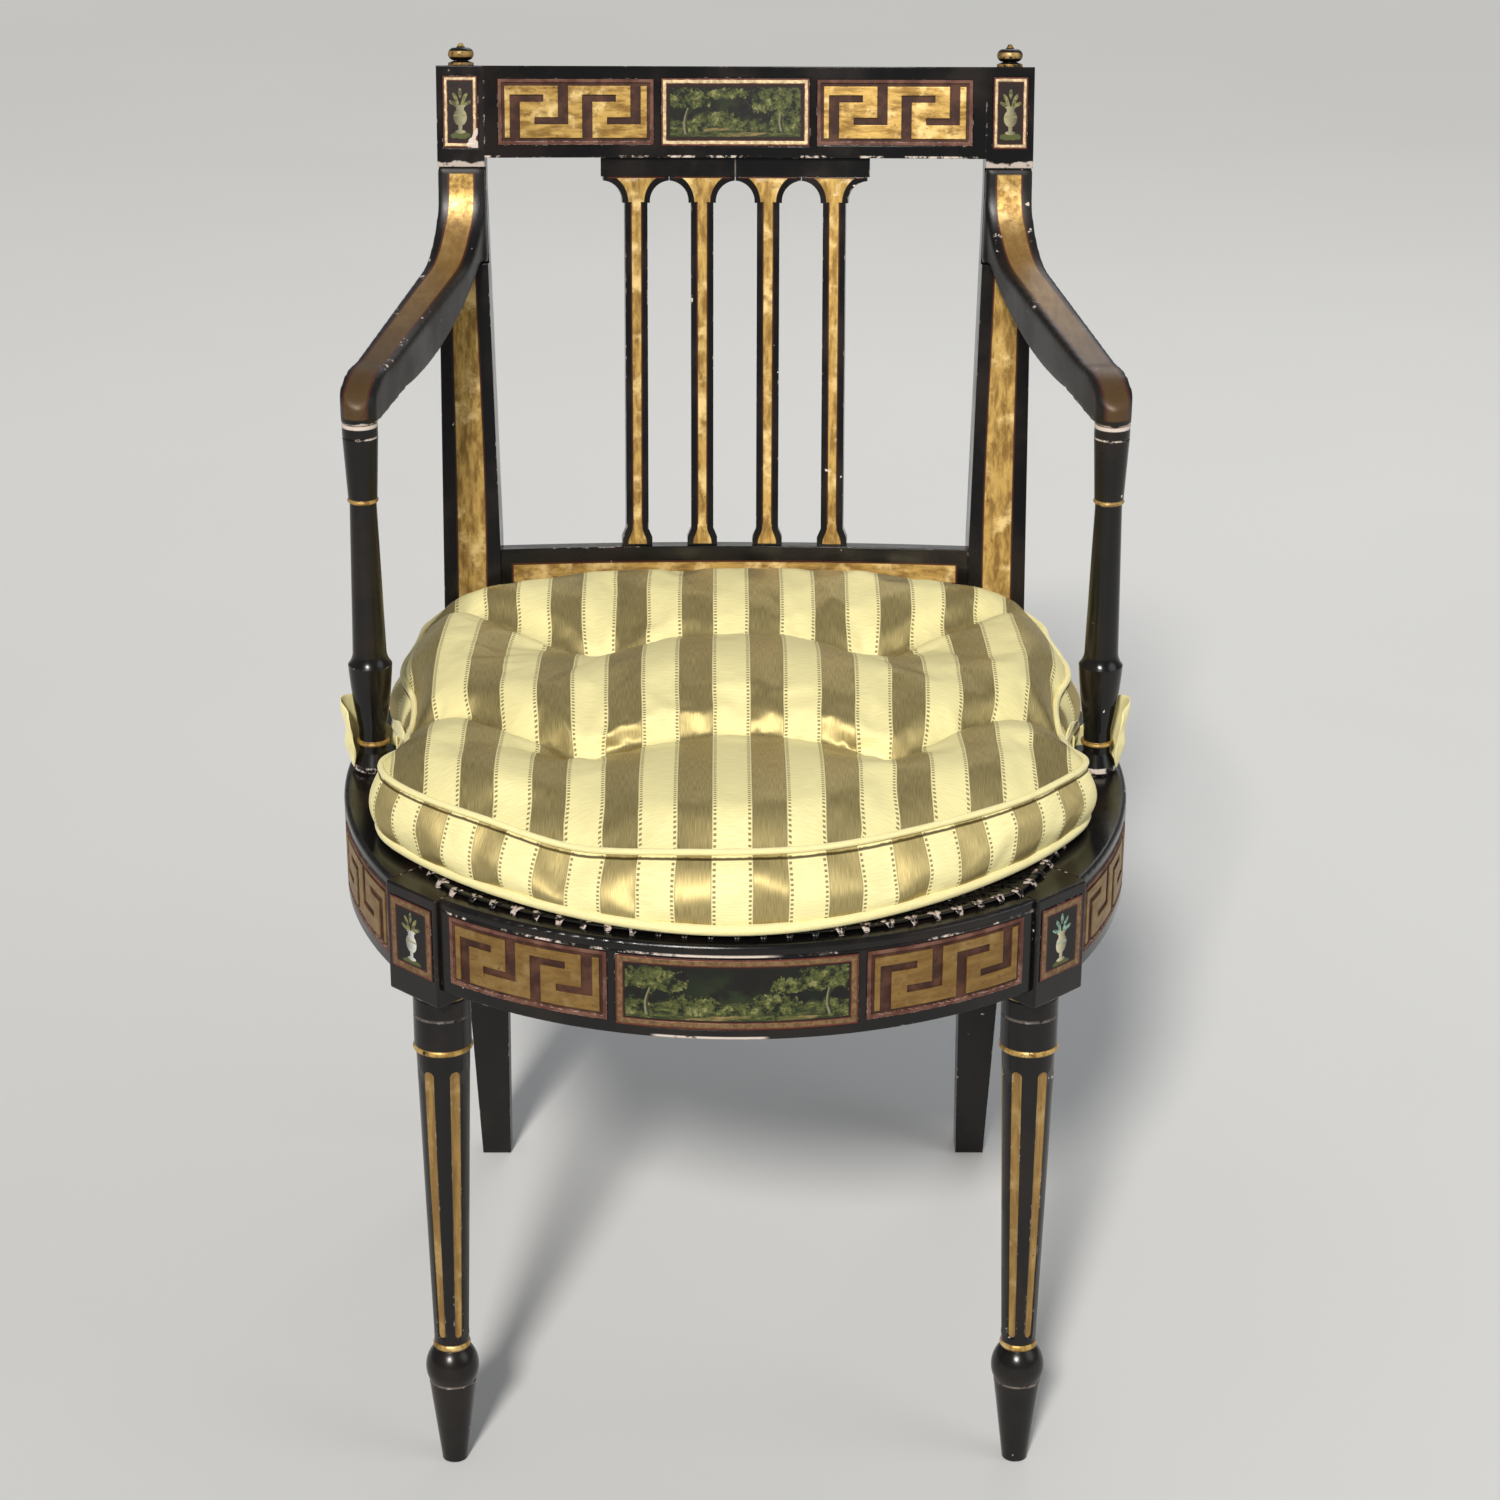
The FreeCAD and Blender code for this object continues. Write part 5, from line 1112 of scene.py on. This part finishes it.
def triangulate(edge, step, lines=()):
    """Even triangles inside a closed outline, with points along the given lines."""
    points = [Vector(point) for point in edge]
    edges = [(index, (index + 1) % len(edge)) for index in range(len(edge))]
    fixed = [edge]
    for start, end in lines:
        count = max(2, int(np.linalg.norm(np.subtract(end, start)) / step) + 1)
        line = np.linspace(start, end, count)
        first = len(points)
        points += [Vector(point) for point in line]
        edges += [(first + index, first + index + 1) for index in range(count - 1)]
        fixed.append(line)
    fixed = np.vstack(fixed)
    low, high = edge.min(axis=0), edge.max(axis=0)
    for row, y in enumerate(np.arange(low[1], high[1], step * math.sqrt(0.75))):
        for x in np.arange(low[0] + step / 2 * (row % 2), high[0], step):
            crossings = (edge[:, 1] > y) != (np.roll(edge[:, 1], -1) > y)
            ahead = np.roll(edge, -1, axis=0)[crossings]
            behind = edge[crossings]
            share = (y - behind[:, 1]) / (ahead[:, 1] - behind[:, 1])
            at = behind[:, 0] + share * (ahead[:, 0] - behind[:, 0])
            if np.sum(at > x) % 2 and np.min(np.hypot(fixed[:, 0] - x, fixed[:, 1] - y)) > 0.62 * step:
                points.append(Vector((x, y)))
    found = geometry.delaunay_2d_cdt(points, edges, [], 1, 0.01)
    return np.array([tuple(point) for point in found[0]]), [tuple(face) for face in found[2]]


def crown(points, edge):
    """Height of the cushion's upper side before it is tufted."""
    gaps = np.linalg.norm(points[:, None, :] - edge[None, :, :], axis=2)
    nearness = (gaps + 1.0) ** -3
    seam = nearness @ seam_height(edge[:, 0], edge[:, 1]) / nearness.sum(axis=1)
    across, y = np.abs(points[:, 0]), points[:, 1]
    roll = CROWN_RUN + (CROWN_FRONT_RUN - CROWN_RUN) * smooth(-y, 120.0, 190.0)
    dome = np.sin(np.clip(gaps.min(axis=1) / roll, 0.0, 1.0) * math.pi / 2)
    front, rear = from_table(across, FRONT_FOLD), from_table(across, REAR_FOLD)
    front_middle, rear_middle, rear_edge = FRONT_FOLD[0][1], REAR_FOLD[0][1], edge[:, 1].max()
    between = front_middle + (rear_middle - front_middle) * (y - front) / (rear - front)
    behind = rear_middle + (rear_edge - rear_middle) * (y - rear) / (rear_edge - rear)
    row = np.where(y < front, front_middle + y - front, np.where(y < rear, between, behind))
    return seam + from_table(row, CROWN_PROFILE) * dome


def upper_side(edge):
    """The cushion's upper side: flat, slack and pulled-in points, faces, and how firmly points are held."""
    lines = []
    for line, tuft in folds():
        lines += list(zip(line[:-1, :2], line[1:, :2]))
    flat, faces = triangulate(edge, CLOTH_STEP, lines)
    slack = np.column_stack([flat, crown(flat, edge)])
    dip = np.zeros(len(flat))
    pins = np.zeros(len(flat))
    pulled = slack.copy()
    for line, tuft in folds():
        depths = crown(line[:, :2], edge) - line[:, 2]
        last = len(line) - 1
        for index in range(last):
            off, share = from_segment(flat, line[index, :2], line[index + 1, :2])
            depth = depths[index] + (depths[index + 1] - depths[index]) * share
            dip = np.where(depth > dip, np.maximum(dip, depth * bell(off, 0.0, FOLD_WIDTH)), dip)
            hold = 1.0 - 0.8 * smooth(index + share, tuft, last)
            pins = np.maximum(pins, np.where(off < 0.5, hold, 0.0))
    for line, tuft in folds():
        away = flat - line[tuft, :2]
        off = np.linalg.norm(away, axis=1)
        depth = crown(line[tuft:tuft + 1, :2], edge)[0] - line[tuft, 2]
        dip = np.maximum(dip, depth * np.exp(-(off / TUFT_WIDTH) ** 1.3))
        gather = np.clip(off / TUFT_GATHER, 0.0, 1.0)
        pulled[:, :2] -= away * (TUFT_SHARE * (1 - gather) ** 2)[:, None]
        pins[off < TUFT_PINNED] = 1.0
    pulled[:, 2] -= dip
    across = np.abs(flat[:, 0])
    behind = np.clip((flat[:, 1] - from_table(across, FRONT_FOLD)) / OVERHANG_RUN, 0.0, None)
    lean = behind * np.exp(1 - behind) * (1 - smooth(across, 78.0, 112.0))
    pulled[:, 1] -= OVERHANG * lean
    slack[:, 1] -= OVERHANG * lean
    pins[:len(edge)] = SEAM_HELD
    return flat, slack, pulled, faces, pins


def build_cushion(material):
    """The cover before it is blown up, its slack and pulled-in points, its weights and its rows."""
    upper = cushion_edge(UPPER_INSET, CUSHION_LOW + BOXING_HEIGHT)
    lower = cushion_edge(LOWER_INSET, CUSHION_LOW)
    flat, slack, pulled, top_faces, pins = upper_side(upper)
    count = len(upper)
    around = lengths_along(closed_up(upper))
    around = np.where(around > around[-1] / 2, around - around[-1], around)
    around[-1] = 0.0
    faces = list(top_faces)
    corners = [tuple(flat[index]) for face in top_faces for index in face]
    points = [slack]
    start = len(slack)
    foot = np.column_stack([lower, np.full(count, CUSHION_LOW + 1.0)])
    rows = [np.arange(count)]
    for row in range(1, BOXING_ROWS + 1):
        share = row / BOXING_ROWS
        ring = slack[:count] * (1 - share) + foot * share
        ring[:, :2] += outward(ring) * (BOXING_BULGE * math.sin(math.pi * share))
        points.append(ring)
        rows.append(start + np.arange(count))
        start += count
    for row in range(BOXING_ROWS):
        high = BOXING_CHART - row * BOXING_HEIGHT / BOXING_ROWS
        low = high - BOXING_HEIGHT / BOXING_ROWS
        for index in range(count):
            after = (index + 1) % count
            faces.append((rows[row][index], rows[row + 1][index], rows[row + 1][after], rows[row][after]))
            left, right = around[index], around[index + 1]
            if abs(right - left) >= CHART_JUMP:
                right = left
            corners += [(left, high), (left, low), (right, low), (right, high)]
    under, under_faces = triangulate(lower, BOTTOM_STEP)
    inner = under[count:]
    points.append(np.column_stack([inner, np.full(len(inner), CUSHION_LOW + 1.0)]))
    place = np.concatenate([rows[-1], start + np.arange(len(inner))])
    for face in under_faces:
        faces.append(tuple(int(place[index]) for index in face[::-1]))
        corners += [tuple(under[index]) for index in face[::-1]]
    slack_all = np.vstack(points)
    pulled_all = slack_all.copy()
    pulled_all[:len(pulled)] = pulled
    held = np.zeros(len(slack_all))
    held[:len(pins)] = pins
    held[rows[-1]] = 1.0
    held[start:] = 1.0
    firm = np.full(len(slack_all), BOXING_FIRM)
    firm[:len(flat)] = smooth(-flat[:, 1], *FRONT_FIRM)
    made = make_mesh("cushion_cover", pulled_all, faces, material, corners)
    return made, slack_all, pulled_all, {"held": held, "firm": firm, "soft": 1.0 - 0.7 * firm}, rows


def simulate_cushion(made, slack, pulled, groups):
    """Blow the cover up like stuffing would, held at the tufts and along the folds."""
    made.shape_key_add(name="pulled")
    rest = made.shape_key_add(name="slack")
    rest.data.foreach_set("co", (slack * MM).ravel())
    rest.value = 0.0
    for name, weights in groups.items():
        group = made.vertex_groups.new(name=name)
        for index, weight in enumerate(weights):
            if weight > 0:
                group.add([index], float(weight), "REPLACE")
    modifier = made.modifiers.new("cloth", "CLOTH")
    for key, value in CLOTH_SETTINGS.items():
        setattr(modifier.settings, key, value)
    modifier.settings.rest_shape_key = rest
    modifier.settings.effector_weights.gravity = 0.0
    modifier.collision_settings.use_collision = False
    modifier.collision_settings.use_self_collision = False
    scene = bpy.context.scene
    for step in range(1, CLOTH_FRAMES + 1):
        scene.frame_set(step)
    graph = bpy.context.evaluated_depsgraph_get()
    blown = bpy.data.meshes.new_from_object(made.evaluated_get(graph), depsgraph=graph)
    moved = np.empty(len(slack) * 3)
    blown.vertices.foreach_get("co", moved)
    bpy.data.meshes.remove(blown)
    made.modifiers.remove(modifier)
    made.shape_key_clear()
    made.vertex_groups.clear()
    scene.frame_set(1)
    step = moved.reshape(-1, 3) / MM - pulled
    far = np.linalg.norm(step, axis=1)
    share = np.minimum(1.0, CLOTH_REACH / np.maximum(far, 1e-6))
    return pulled + step * share[:, None]


def pucker(points):
    """Small gathers that run out from the tufts."""
    for line, tuft in folds():
        away = points[:, :2] - line[tuft, :2]
        turn = np.arctan2(away[:, 1], away[:, 0])
        swell = PUCKER_HEIGHT * bell(np.linalg.norm(away, axis=1), PUCKER_R, PUCKER_SPREAD)
        swell *= points[:, 2] > CUSHION_LOW + 30.0
        points[:, 2] += swell * np.cos(PUCKERS * turn + 0.6 * np.sin(2 * turn) + line[tuft, 0])
    return points


def welt(name, points, radius, material):
    """Corded edging along a seam."""
    points = resample(points, WELT_POINTS)
    ahead = unit(headings(points))
    across = unit(np.cross(ahead, (0.0, 0.0, 1.0)))
    rise = np.cross(across, ahead)
    lines = []
    for turn in np.linspace(0.0, 2 * math.pi, WELT_SIDES, endpoint=False):
        lines.append(points + radius * (math.cos(turn) * across + math.sin(turn) * rise))
    around = np.linspace(0.0, 2 * math.pi * radius, WELT_SIDES + 1)
    made, faces, corners = join_lines(lines, lengths_along(closed_up(points)), around, True)
    piece = make_mesh(name, made, faces, material, [corner[::-1] for corner in corners])
    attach(piece, "cushion")


striped = fabric("striped_fabric")
plain = fabric("piping_fabric", striped=False)
cushion, slack, shape, groups, rows = build_cushion(striped)
shape = pucker(simulate_cushion(cushion, slack, shape, groups))
set_points(cushion, shape)
add_subdivision(cushion)
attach(cushion, "cushion")
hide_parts("seat_cushion")
seam = relax(shape[rows[0]], 3)
seam[:, :2] += outward(seam) * 1.2
seam[:, 2] += 0.7
welt("upper_welt", seam, UPPER_WELT_R, plain)
foot = relax(shape[rows[-1]], 3)
foot[:, :2] += outward(foot) * 1.6
foot[:, 2] = CUSHION_LOW + LOWER_WELT_R + 0.3
welt("lower_welt", foot, LOWER_WELT_R, plain)


# Cane seat
CANE_PITCH = 13.0
CANE_PAIR = 2.2              # half the gap between the two strands of a pair
CANE_WIDTH = 2.2
CANE_THICK = 0.4
CANE_LEVEL = SEAT_TOP + 0.85
CANE_LAYER = 0.22            # how far the layers of the weave stand apart
CANE_WAVE = 0.5              # how far the slanting strands dip between crossings
CANE_FRONT = FRONT_BOW - 14.0
CANE_SIDE = SEAT_HALF_WIDTH - 38.0
CANE_REAR_X = STILE_INNER_LOW + 12.0
CANE_REAR_Y = BACK_Y + 12.0
CANE_STILE_GAP = 1.0
CANE_ROWS = 40               # rows of the weave to either side of the middle
CANE_REACH = 700.0           # strands are sought this far out and cut at the holes
BINDER_POINTS = 560
BINDER_COLUMNS = 5
BINDER_DOME = 0.35
LOOP_LINE_POINTS = 1800
CANE_TAN = (0.42, 0.27, 0.12)
CANE_PALE = (0.60, 0.49, 0.43)
BINDER_WIDTH = 5.4
BINDER_LOW = SEAT_TOP + 1.4
BINDER_HIGH = SEAT_TOP + 2.5
LOOP_PITCH = 15.5
LOOP_SPREAD = 3.6
LOOP_OUT = 5.6               # a loop goes down its hole this far outside the binder's middle
LOOP_IN = 2.6
LOOP_WIDTH = 3.3
LOOP_THICK = 0.5
# A loop from end to end, as (share of its run, height)
LOOP_PROFILE = ((0.0, SEAT_TOP - 0.3), (0.10, SEAT_TOP + 1.2), (0.32, BINDER_HIGH + 0.5),
                (0.58, BINDER_HIGH + 0.75), (0.84, BINDER_HIGH + 0.5), (1.0, SEAT_TOP + 1.0))


def in_cane(x, y):
    """True inside the row of holes."""
    radius = side_radius(CANE_SIDE, CANE_REAR_X)
    side = np.hypot(np.abs(x) - (CANE_SIDE - radius), y - WIDEST_Y) < radius
    stile = (np.abs(x) > STILE_INNER_LOW - CANE_STILE_GAP) & (y > BACK_Y - CANE_STILE_GAP)
    return side & (np.hypot(x, y) < CANE_FRONT) & (y < CANE_REAR_Y) & ~stile


def cane_edge(count):
    """The row of holes as a closed line."""
    reaches = np.arange(100.0, 400.0, 0.25)
    line = []
    for turn in np.linspace(0.0, 2 * math.pi, 720, endpoint=False):
        x, y = reaches * math.sin(turn), WIDEST_Y - reaches * math.cos(turn)
        last = np.argmin(in_cane(x, y)) - 1
        line.append((x[last], y[last]))
    return relax(resample(np.array(line), count), 2)


def strand(start, heading, level, wave):
    """One strand across the seat: level is its layer, and wave how far it dips between crossings."""
    places = np.arange(-CANE_REACH, CANE_REACH, 1.0)
    inside = places[in_cane(start[0] + places * heading[0], start[1] + places * heading[1])]
    if len(inside) < 2 * CANE_PITCH:
        return []
    step = CANE_PITCH * (math.hypot(*heading) if wave else 4.0) / 4
    count = max(3, int((inside[-1] - inside[0]) / step))
    run = np.linspace(inside[0], inside[-1], count)
    x, y = start[0] + run * heading[0], start[1] + run * heading[1]
    height = CANE_LEVEL + level + wave * np.cos(2 * math.pi * x / CANE_PITCH)
    aside = np.array([-heading[1], heading[0], 0.0]) / math.hypot(*heading) * CANE_WIDTH / 2
    return [ribbon(np.column_stack([x, y, height]), np.tile(aside, (count, 1)), CANE_THICK)]


def weave():
    strands = []
    for index in range(-CANE_ROWS, CANE_ROWS + 1):
        place = index * CANE_PITCH
        for apart in (-CANE_PAIR, CANE_PAIR):
            strands += strand((place + apart, 0.0), (0.0, 1.0), -CANE_LAYER, 0.0)
            strands += strand((0.0, place + apart), (1.0, 0.0), CANE_LAYER, 0.0)
        strands += strand((0.0, place), (1.0, 1.0), 0.0, CANE_WAVE)
        strands += strand((0.0, place), (1.0, -1.0), 0.0, -CANE_WAVE)
    return gathered(strands)


def binder():
    line = cane_edge(BINDER_POINTS)
    points = np.column_stack([line, np.full(BINDER_POINTS, (BINDER_LOW + BINDER_HIGH) / 2)])
    ahead = unit(headings(line))
    asides = np.column_stack([-ahead[:, 1], ahead[:, 0], np.zeros(BINDER_POINTS)]) * BINDER_WIDTH / 2
    dome = BINDER_DOME * (1 - np.linspace(-1.0, 1.0, BINDER_COLUMNS) ** 2)
    return ribbon(points, asides, BINDER_HIGH - BINDER_LOW, BINDER_COLUMNS, True, dome)


def loops():
    """Pairs of short straps that come up through a hole, cross the binder and go down inside it."""
    fine = cane_edge(LOOP_LINE_POINTS)
    step = np.linalg.norm(fine[1] - fine[0])
    spacing = int(round(LOOP_PITCH / step))
    spread = int(round(LOOP_SPREAD / step))
    straps = []
    for index in range(0, len(fine) - spacing // 2, spacing):
        ahead = fine[(index + 1) % len(fine)] - fine[index - 1]
        out = np.array([ahead[1], -ahead[0]]) / np.linalg.norm(ahead)
        hole = fine[index] + out * LOOP_OUT
        for side in (-1, 1):
            end = fine[(index + side * spread) % len(fine)] - out * LOOP_IN
            points = [(*(hole * (1 - share) + end * share), height) for share, height in LOOP_PROFILE]
            run = (end - hole) / np.linalg.norm(end - hole)
            aside = np.array([-run[1], run[0], 0.0]) * LOOP_WIDTH / 2
            straps.append(ribbon(points, np.tile(aside, (len(points), 1)), LOOP_THICK))
    return gathered(straps)


def off_rim(paint):
    return front_terms(paint)[1].rise(-36.0, -84.0)


def beside_middle(paint):
    return abs(front_terms(paint)[0]).rise(56.0, 64.0)


def cane_paint(name, worn_low, worn_high, bare, where=None, patchy=0.035):
    """Cane painted black, rubbed back to its own colour in places, or only in the places that where gives."""
    paint = Paint(name)
    patch = paint.noise(patchy, 3.0, 0.6)
    fine = paint.noise(0.30, 4.0, 0.7)
    fibre = paint.streaks((1.0, 1.0, 0.3), 0.9, 3.0, 0.6)
    worn = (patch * 0.55 + fine * 0.45).rise(worn_low, worn_high)
    if where:
        worn = worn * where(paint)
    cane = paint.coats(darker(bare, 0.62), (fibre.rise(0.35, 0.65), bare))
    colour = paint.coats(BLACK, (patch.rise(0.4, 0.65), BROWN_BLACK), (worn, cane))
    return paint.done(colour, worn.blend(0.28, 0.6), 0.0, paint.bump(fibre, 0.08), Specular_IOR_Level=0.4)


worn_cane = cane_paint("worn_cane", 0.44, 0.53, CANE_TAN, where=off_rim)
black_cane = cane_paint("black_cane", 0.60, 0.64, CHIP)
chipped_cane = cane_paint("chipped_cane", 0.49, 0.515, CANE_PALE, where=beside_middle, patchy=0.11)
seat_weave = make_mesh("cane_weave", *weave()[:2], worn_cane, smooth=False)
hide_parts("cane_seat")
edging = make_mesh("cane_binder", *binder()[:2], black_cane)
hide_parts("cane_binding")
knots = make_mesh("cane_binder_loops", *loops()[:2], chipped_cane)
for piece in (seat_weave, edging, knots):
    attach(piece, "chair")


# Ties
TIE_R = 18.3
TIE_Z = 443.5
TIE_HALF_INNER = 7.0
TIE_HALF_OUTER = 23.0
TIE_LIFT = 7.0               # the outer side sits higher
TIE_START = 205.0            # from the inner side of the post
TIE_END = -38.0              # round behind it to its front
TIE_OPENS = 130.0            # where the band begins to spread
TIE_WIDE = 40.0              # where it is widest
TIE_THICK = 1.0
TIE_POINTS = 56
TIE_COLUMNS = 9
TAB_POINTS = ((237.0, -8.0, 447.0), (233.0, -18.0, 450.0), (230.0, -28.0, 454.0), (227.5, -38.0, 456.0),
              (224.0, -46.0, 455.0))
TAB_HALF = 9.0


def tie(side):
    """A crumpled band from the notch of the cushion, round the arm post from behind, and its flat area."""
    turns = np.radians(np.linspace(TIE_START, TIE_END, TIE_POINTS))
    outer = smooth(-turns, -math.radians(TIE_OPENS), -math.radians(TIE_WIDE))
    half = TIE_HALF_INNER + (TIE_HALF_OUTER - TIE_HALF_INNER) * outer * (1 + 0.12 * np.sin(4 * turns + 0.7))
    reach = TIE_R + 0.6 * np.sin(5 * turns + 1.0) - 1.5 * smooth(-turns, 0.0, 0.7)
    points = np.column_stack([POST_X + reach * np.cos(turns), POST_Y + reach * np.sin(turns),
                              TIE_Z + TIE_LIFT * outer + 1.2 * np.sin(2 * turns)])
    lean = 0.12 * outer
    asides = np.column_stack([lean * np.cos(turns), lean * np.sin(turns), np.ones(TIE_POINTS)])
    asides *= half[:, None]
    columns = np.linspace(-1.0, 1.0, TIE_COLUMNS)
    crumple = np.sin(7.0 * columns[None, :] + 2.5 * np.sin(turns)[:, None] + 0.8)
    ripple = outer[:, None] * (1.1 * crumple + 0.9 * np.sin(6 * turns[:, None] + 4.0 * columns[None, :]))
    mirror = np.array([side, 1.0, 1.0])
    band = ribbon(points * mirror, asides * mirror, TIE_THICK, TIE_COLUMNS, False, side * ripple)
    tab = resample(TAB_POINTS, TIE_COLUMNS, False)
    wave = 1.2 * np.sin(6.0 * columns[None, :] + 5.0 * columns[:, None])
    tab_asides = np.tile((0.15 * side * TAB_HALF, 0.0, TAB_HALF), (TIE_COLUMNS, 1))
    strap = ribbon(tab * mirror, tab_asides, TIE_THICK, TIE_COLUMNS, False, side * wave)
    steps = np.linalg.norm(np.gradient(points, axis=0), axis=1)
    steps[[0, -1]] /= 2
    area = np.sum(2 * half * steps) + 2 * TAB_HALF * lengths_along(tab)[-1]
    return gathered([band, strap]), area


for side, side_name in ((1, "right"), (-1, "left")):
    (points, faces, corners), area = tie(side)
    made = make_mesh("cushion_tie_band_" + side_name, points, faces, plain, corners)
    add_subdivision(made)
    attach(made, "cushion")
    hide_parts("cushion_tie_" + side_name)
    area * MM * MM


# Stage, light and camera, in metres
FLOOR_SIZE = 30.0
FLOOR_DROP = 0.0005
FLOOR_GREY = (0.62, 0.62, 0.61)
FLOOR_PALE = (0.67, 0.67, 0.66)
SKY = (0.92, 0.95, 1.0, 1.0)
SKY_STRENGTH = 0.27
LIGHT_TARGET = (0.0, 0.0, 0.45)
LAMP_SIZE = 1.8


def make_floor():
    paint = Paint("floor")
    material = paint.done(paint.coats(FLOOR_GREY, (paint.noise(0.0012), FLOOR_PALE)), 0.75)
    mesh = bpy.data.meshes.new("floor")
    corners = [(x * FLOOR_SIZE, y * FLOOR_SIZE, 0.0) for x, y in ((-1, -1), (1, -1), (1, 1), (-1, 1))]
    mesh.from_pydata(corners, [], [(0, 1, 2, 3)])
    mesh.materials.append(material)
    floor = bpy.data.objects.new("floor", mesh)
    floor.location.z = -FLOOR_DROP
    bpy.context.collection.objects.link(floor)


def add_light(name, kind, power, colour, **settings):
    light = bpy.data.lights.new(name, kind)
    light.energy = power
    light.color = colour
    for key, value in settings.items():
        setattr(light, key, value)
    lamp = bpy.data.objects.new(name, light)
    bpy.context.collection.objects.link(lamp)
    return lamp


def sun_light(name, bearing, height, power, spread, colour):
    """Distant lamp: bearing is in degrees to the left of the front, and height above the horizon."""
    lamp = add_light(name, "SUN", power, colour, angle=math.radians(spread))
    lamp.rotation_euler = (math.radians(90.0 - height), 0.0, math.radians(-bearing))


def area_light(name, place, power, colour):
    lamp = add_light(name, "AREA", power, colour, shape="DISK", size=LAMP_SIZE)
    lamp.location = place
    lamp.rotation_euler = (Vector(LIGHT_TARGET) - Vector(place)).to_track_quat("-Z", "Y").to_euler()


def make_light():
    world = bpy.data.worlds.new("studio")
    world.use_nodes = True
    background = world.node_tree.nodes["Background"]
    background.inputs["Color"].default_value = SKY
    background.inputs["Strength"].default_value = SKY_STRENGTH
    bpy.context.scene.world = world
    sun_light("key", bearing=12.0, height=37.0, power=3.3, spread=9.0, colour=(1.0, 0.97, 0.92))
    area_light("fill", place=(2.4, -1.0, 1.7), power=14.0, colour=(0.94, 0.97, 1.0))
    area_light("back", place=(0.6, 2.6, 2.6), power=16.0, colour=(1.0, 1.0, 1.0))


def make_camera():
    pitch, yaw, roll = (math.radians(value) for value in (CAMERA_PITCH, CAMERA_YAW, CAMERA_ROLL))
    data = bpy.data.cameras.new("camera")
    data.sensor_width = SENSOR
    data.lens = CAMERA_FOCAL / FRAME_PIXELS * SENSOR
    data.clip_end = 100.0
    camera = bpy.data.objects.new("camera", data)
    turned = Matrix.Rotation(-yaw, 4, "Z") @ Matrix.Rotation(math.pi / 2 - pitch, 4, "X")
    turned = turned @ Matrix.Rotation(roll, 4, "Z")
    camera.matrix_world = Matrix.Translation(Vector(CAMERA_PLACE) * MM) @ turned
    bpy.context.collection.objects.link(camera)
    bpy.context.scene.camera = camera


make_floor()
make_light()
make_camera()
bpy.context.scene.view_settings.view_transform = "Standard"
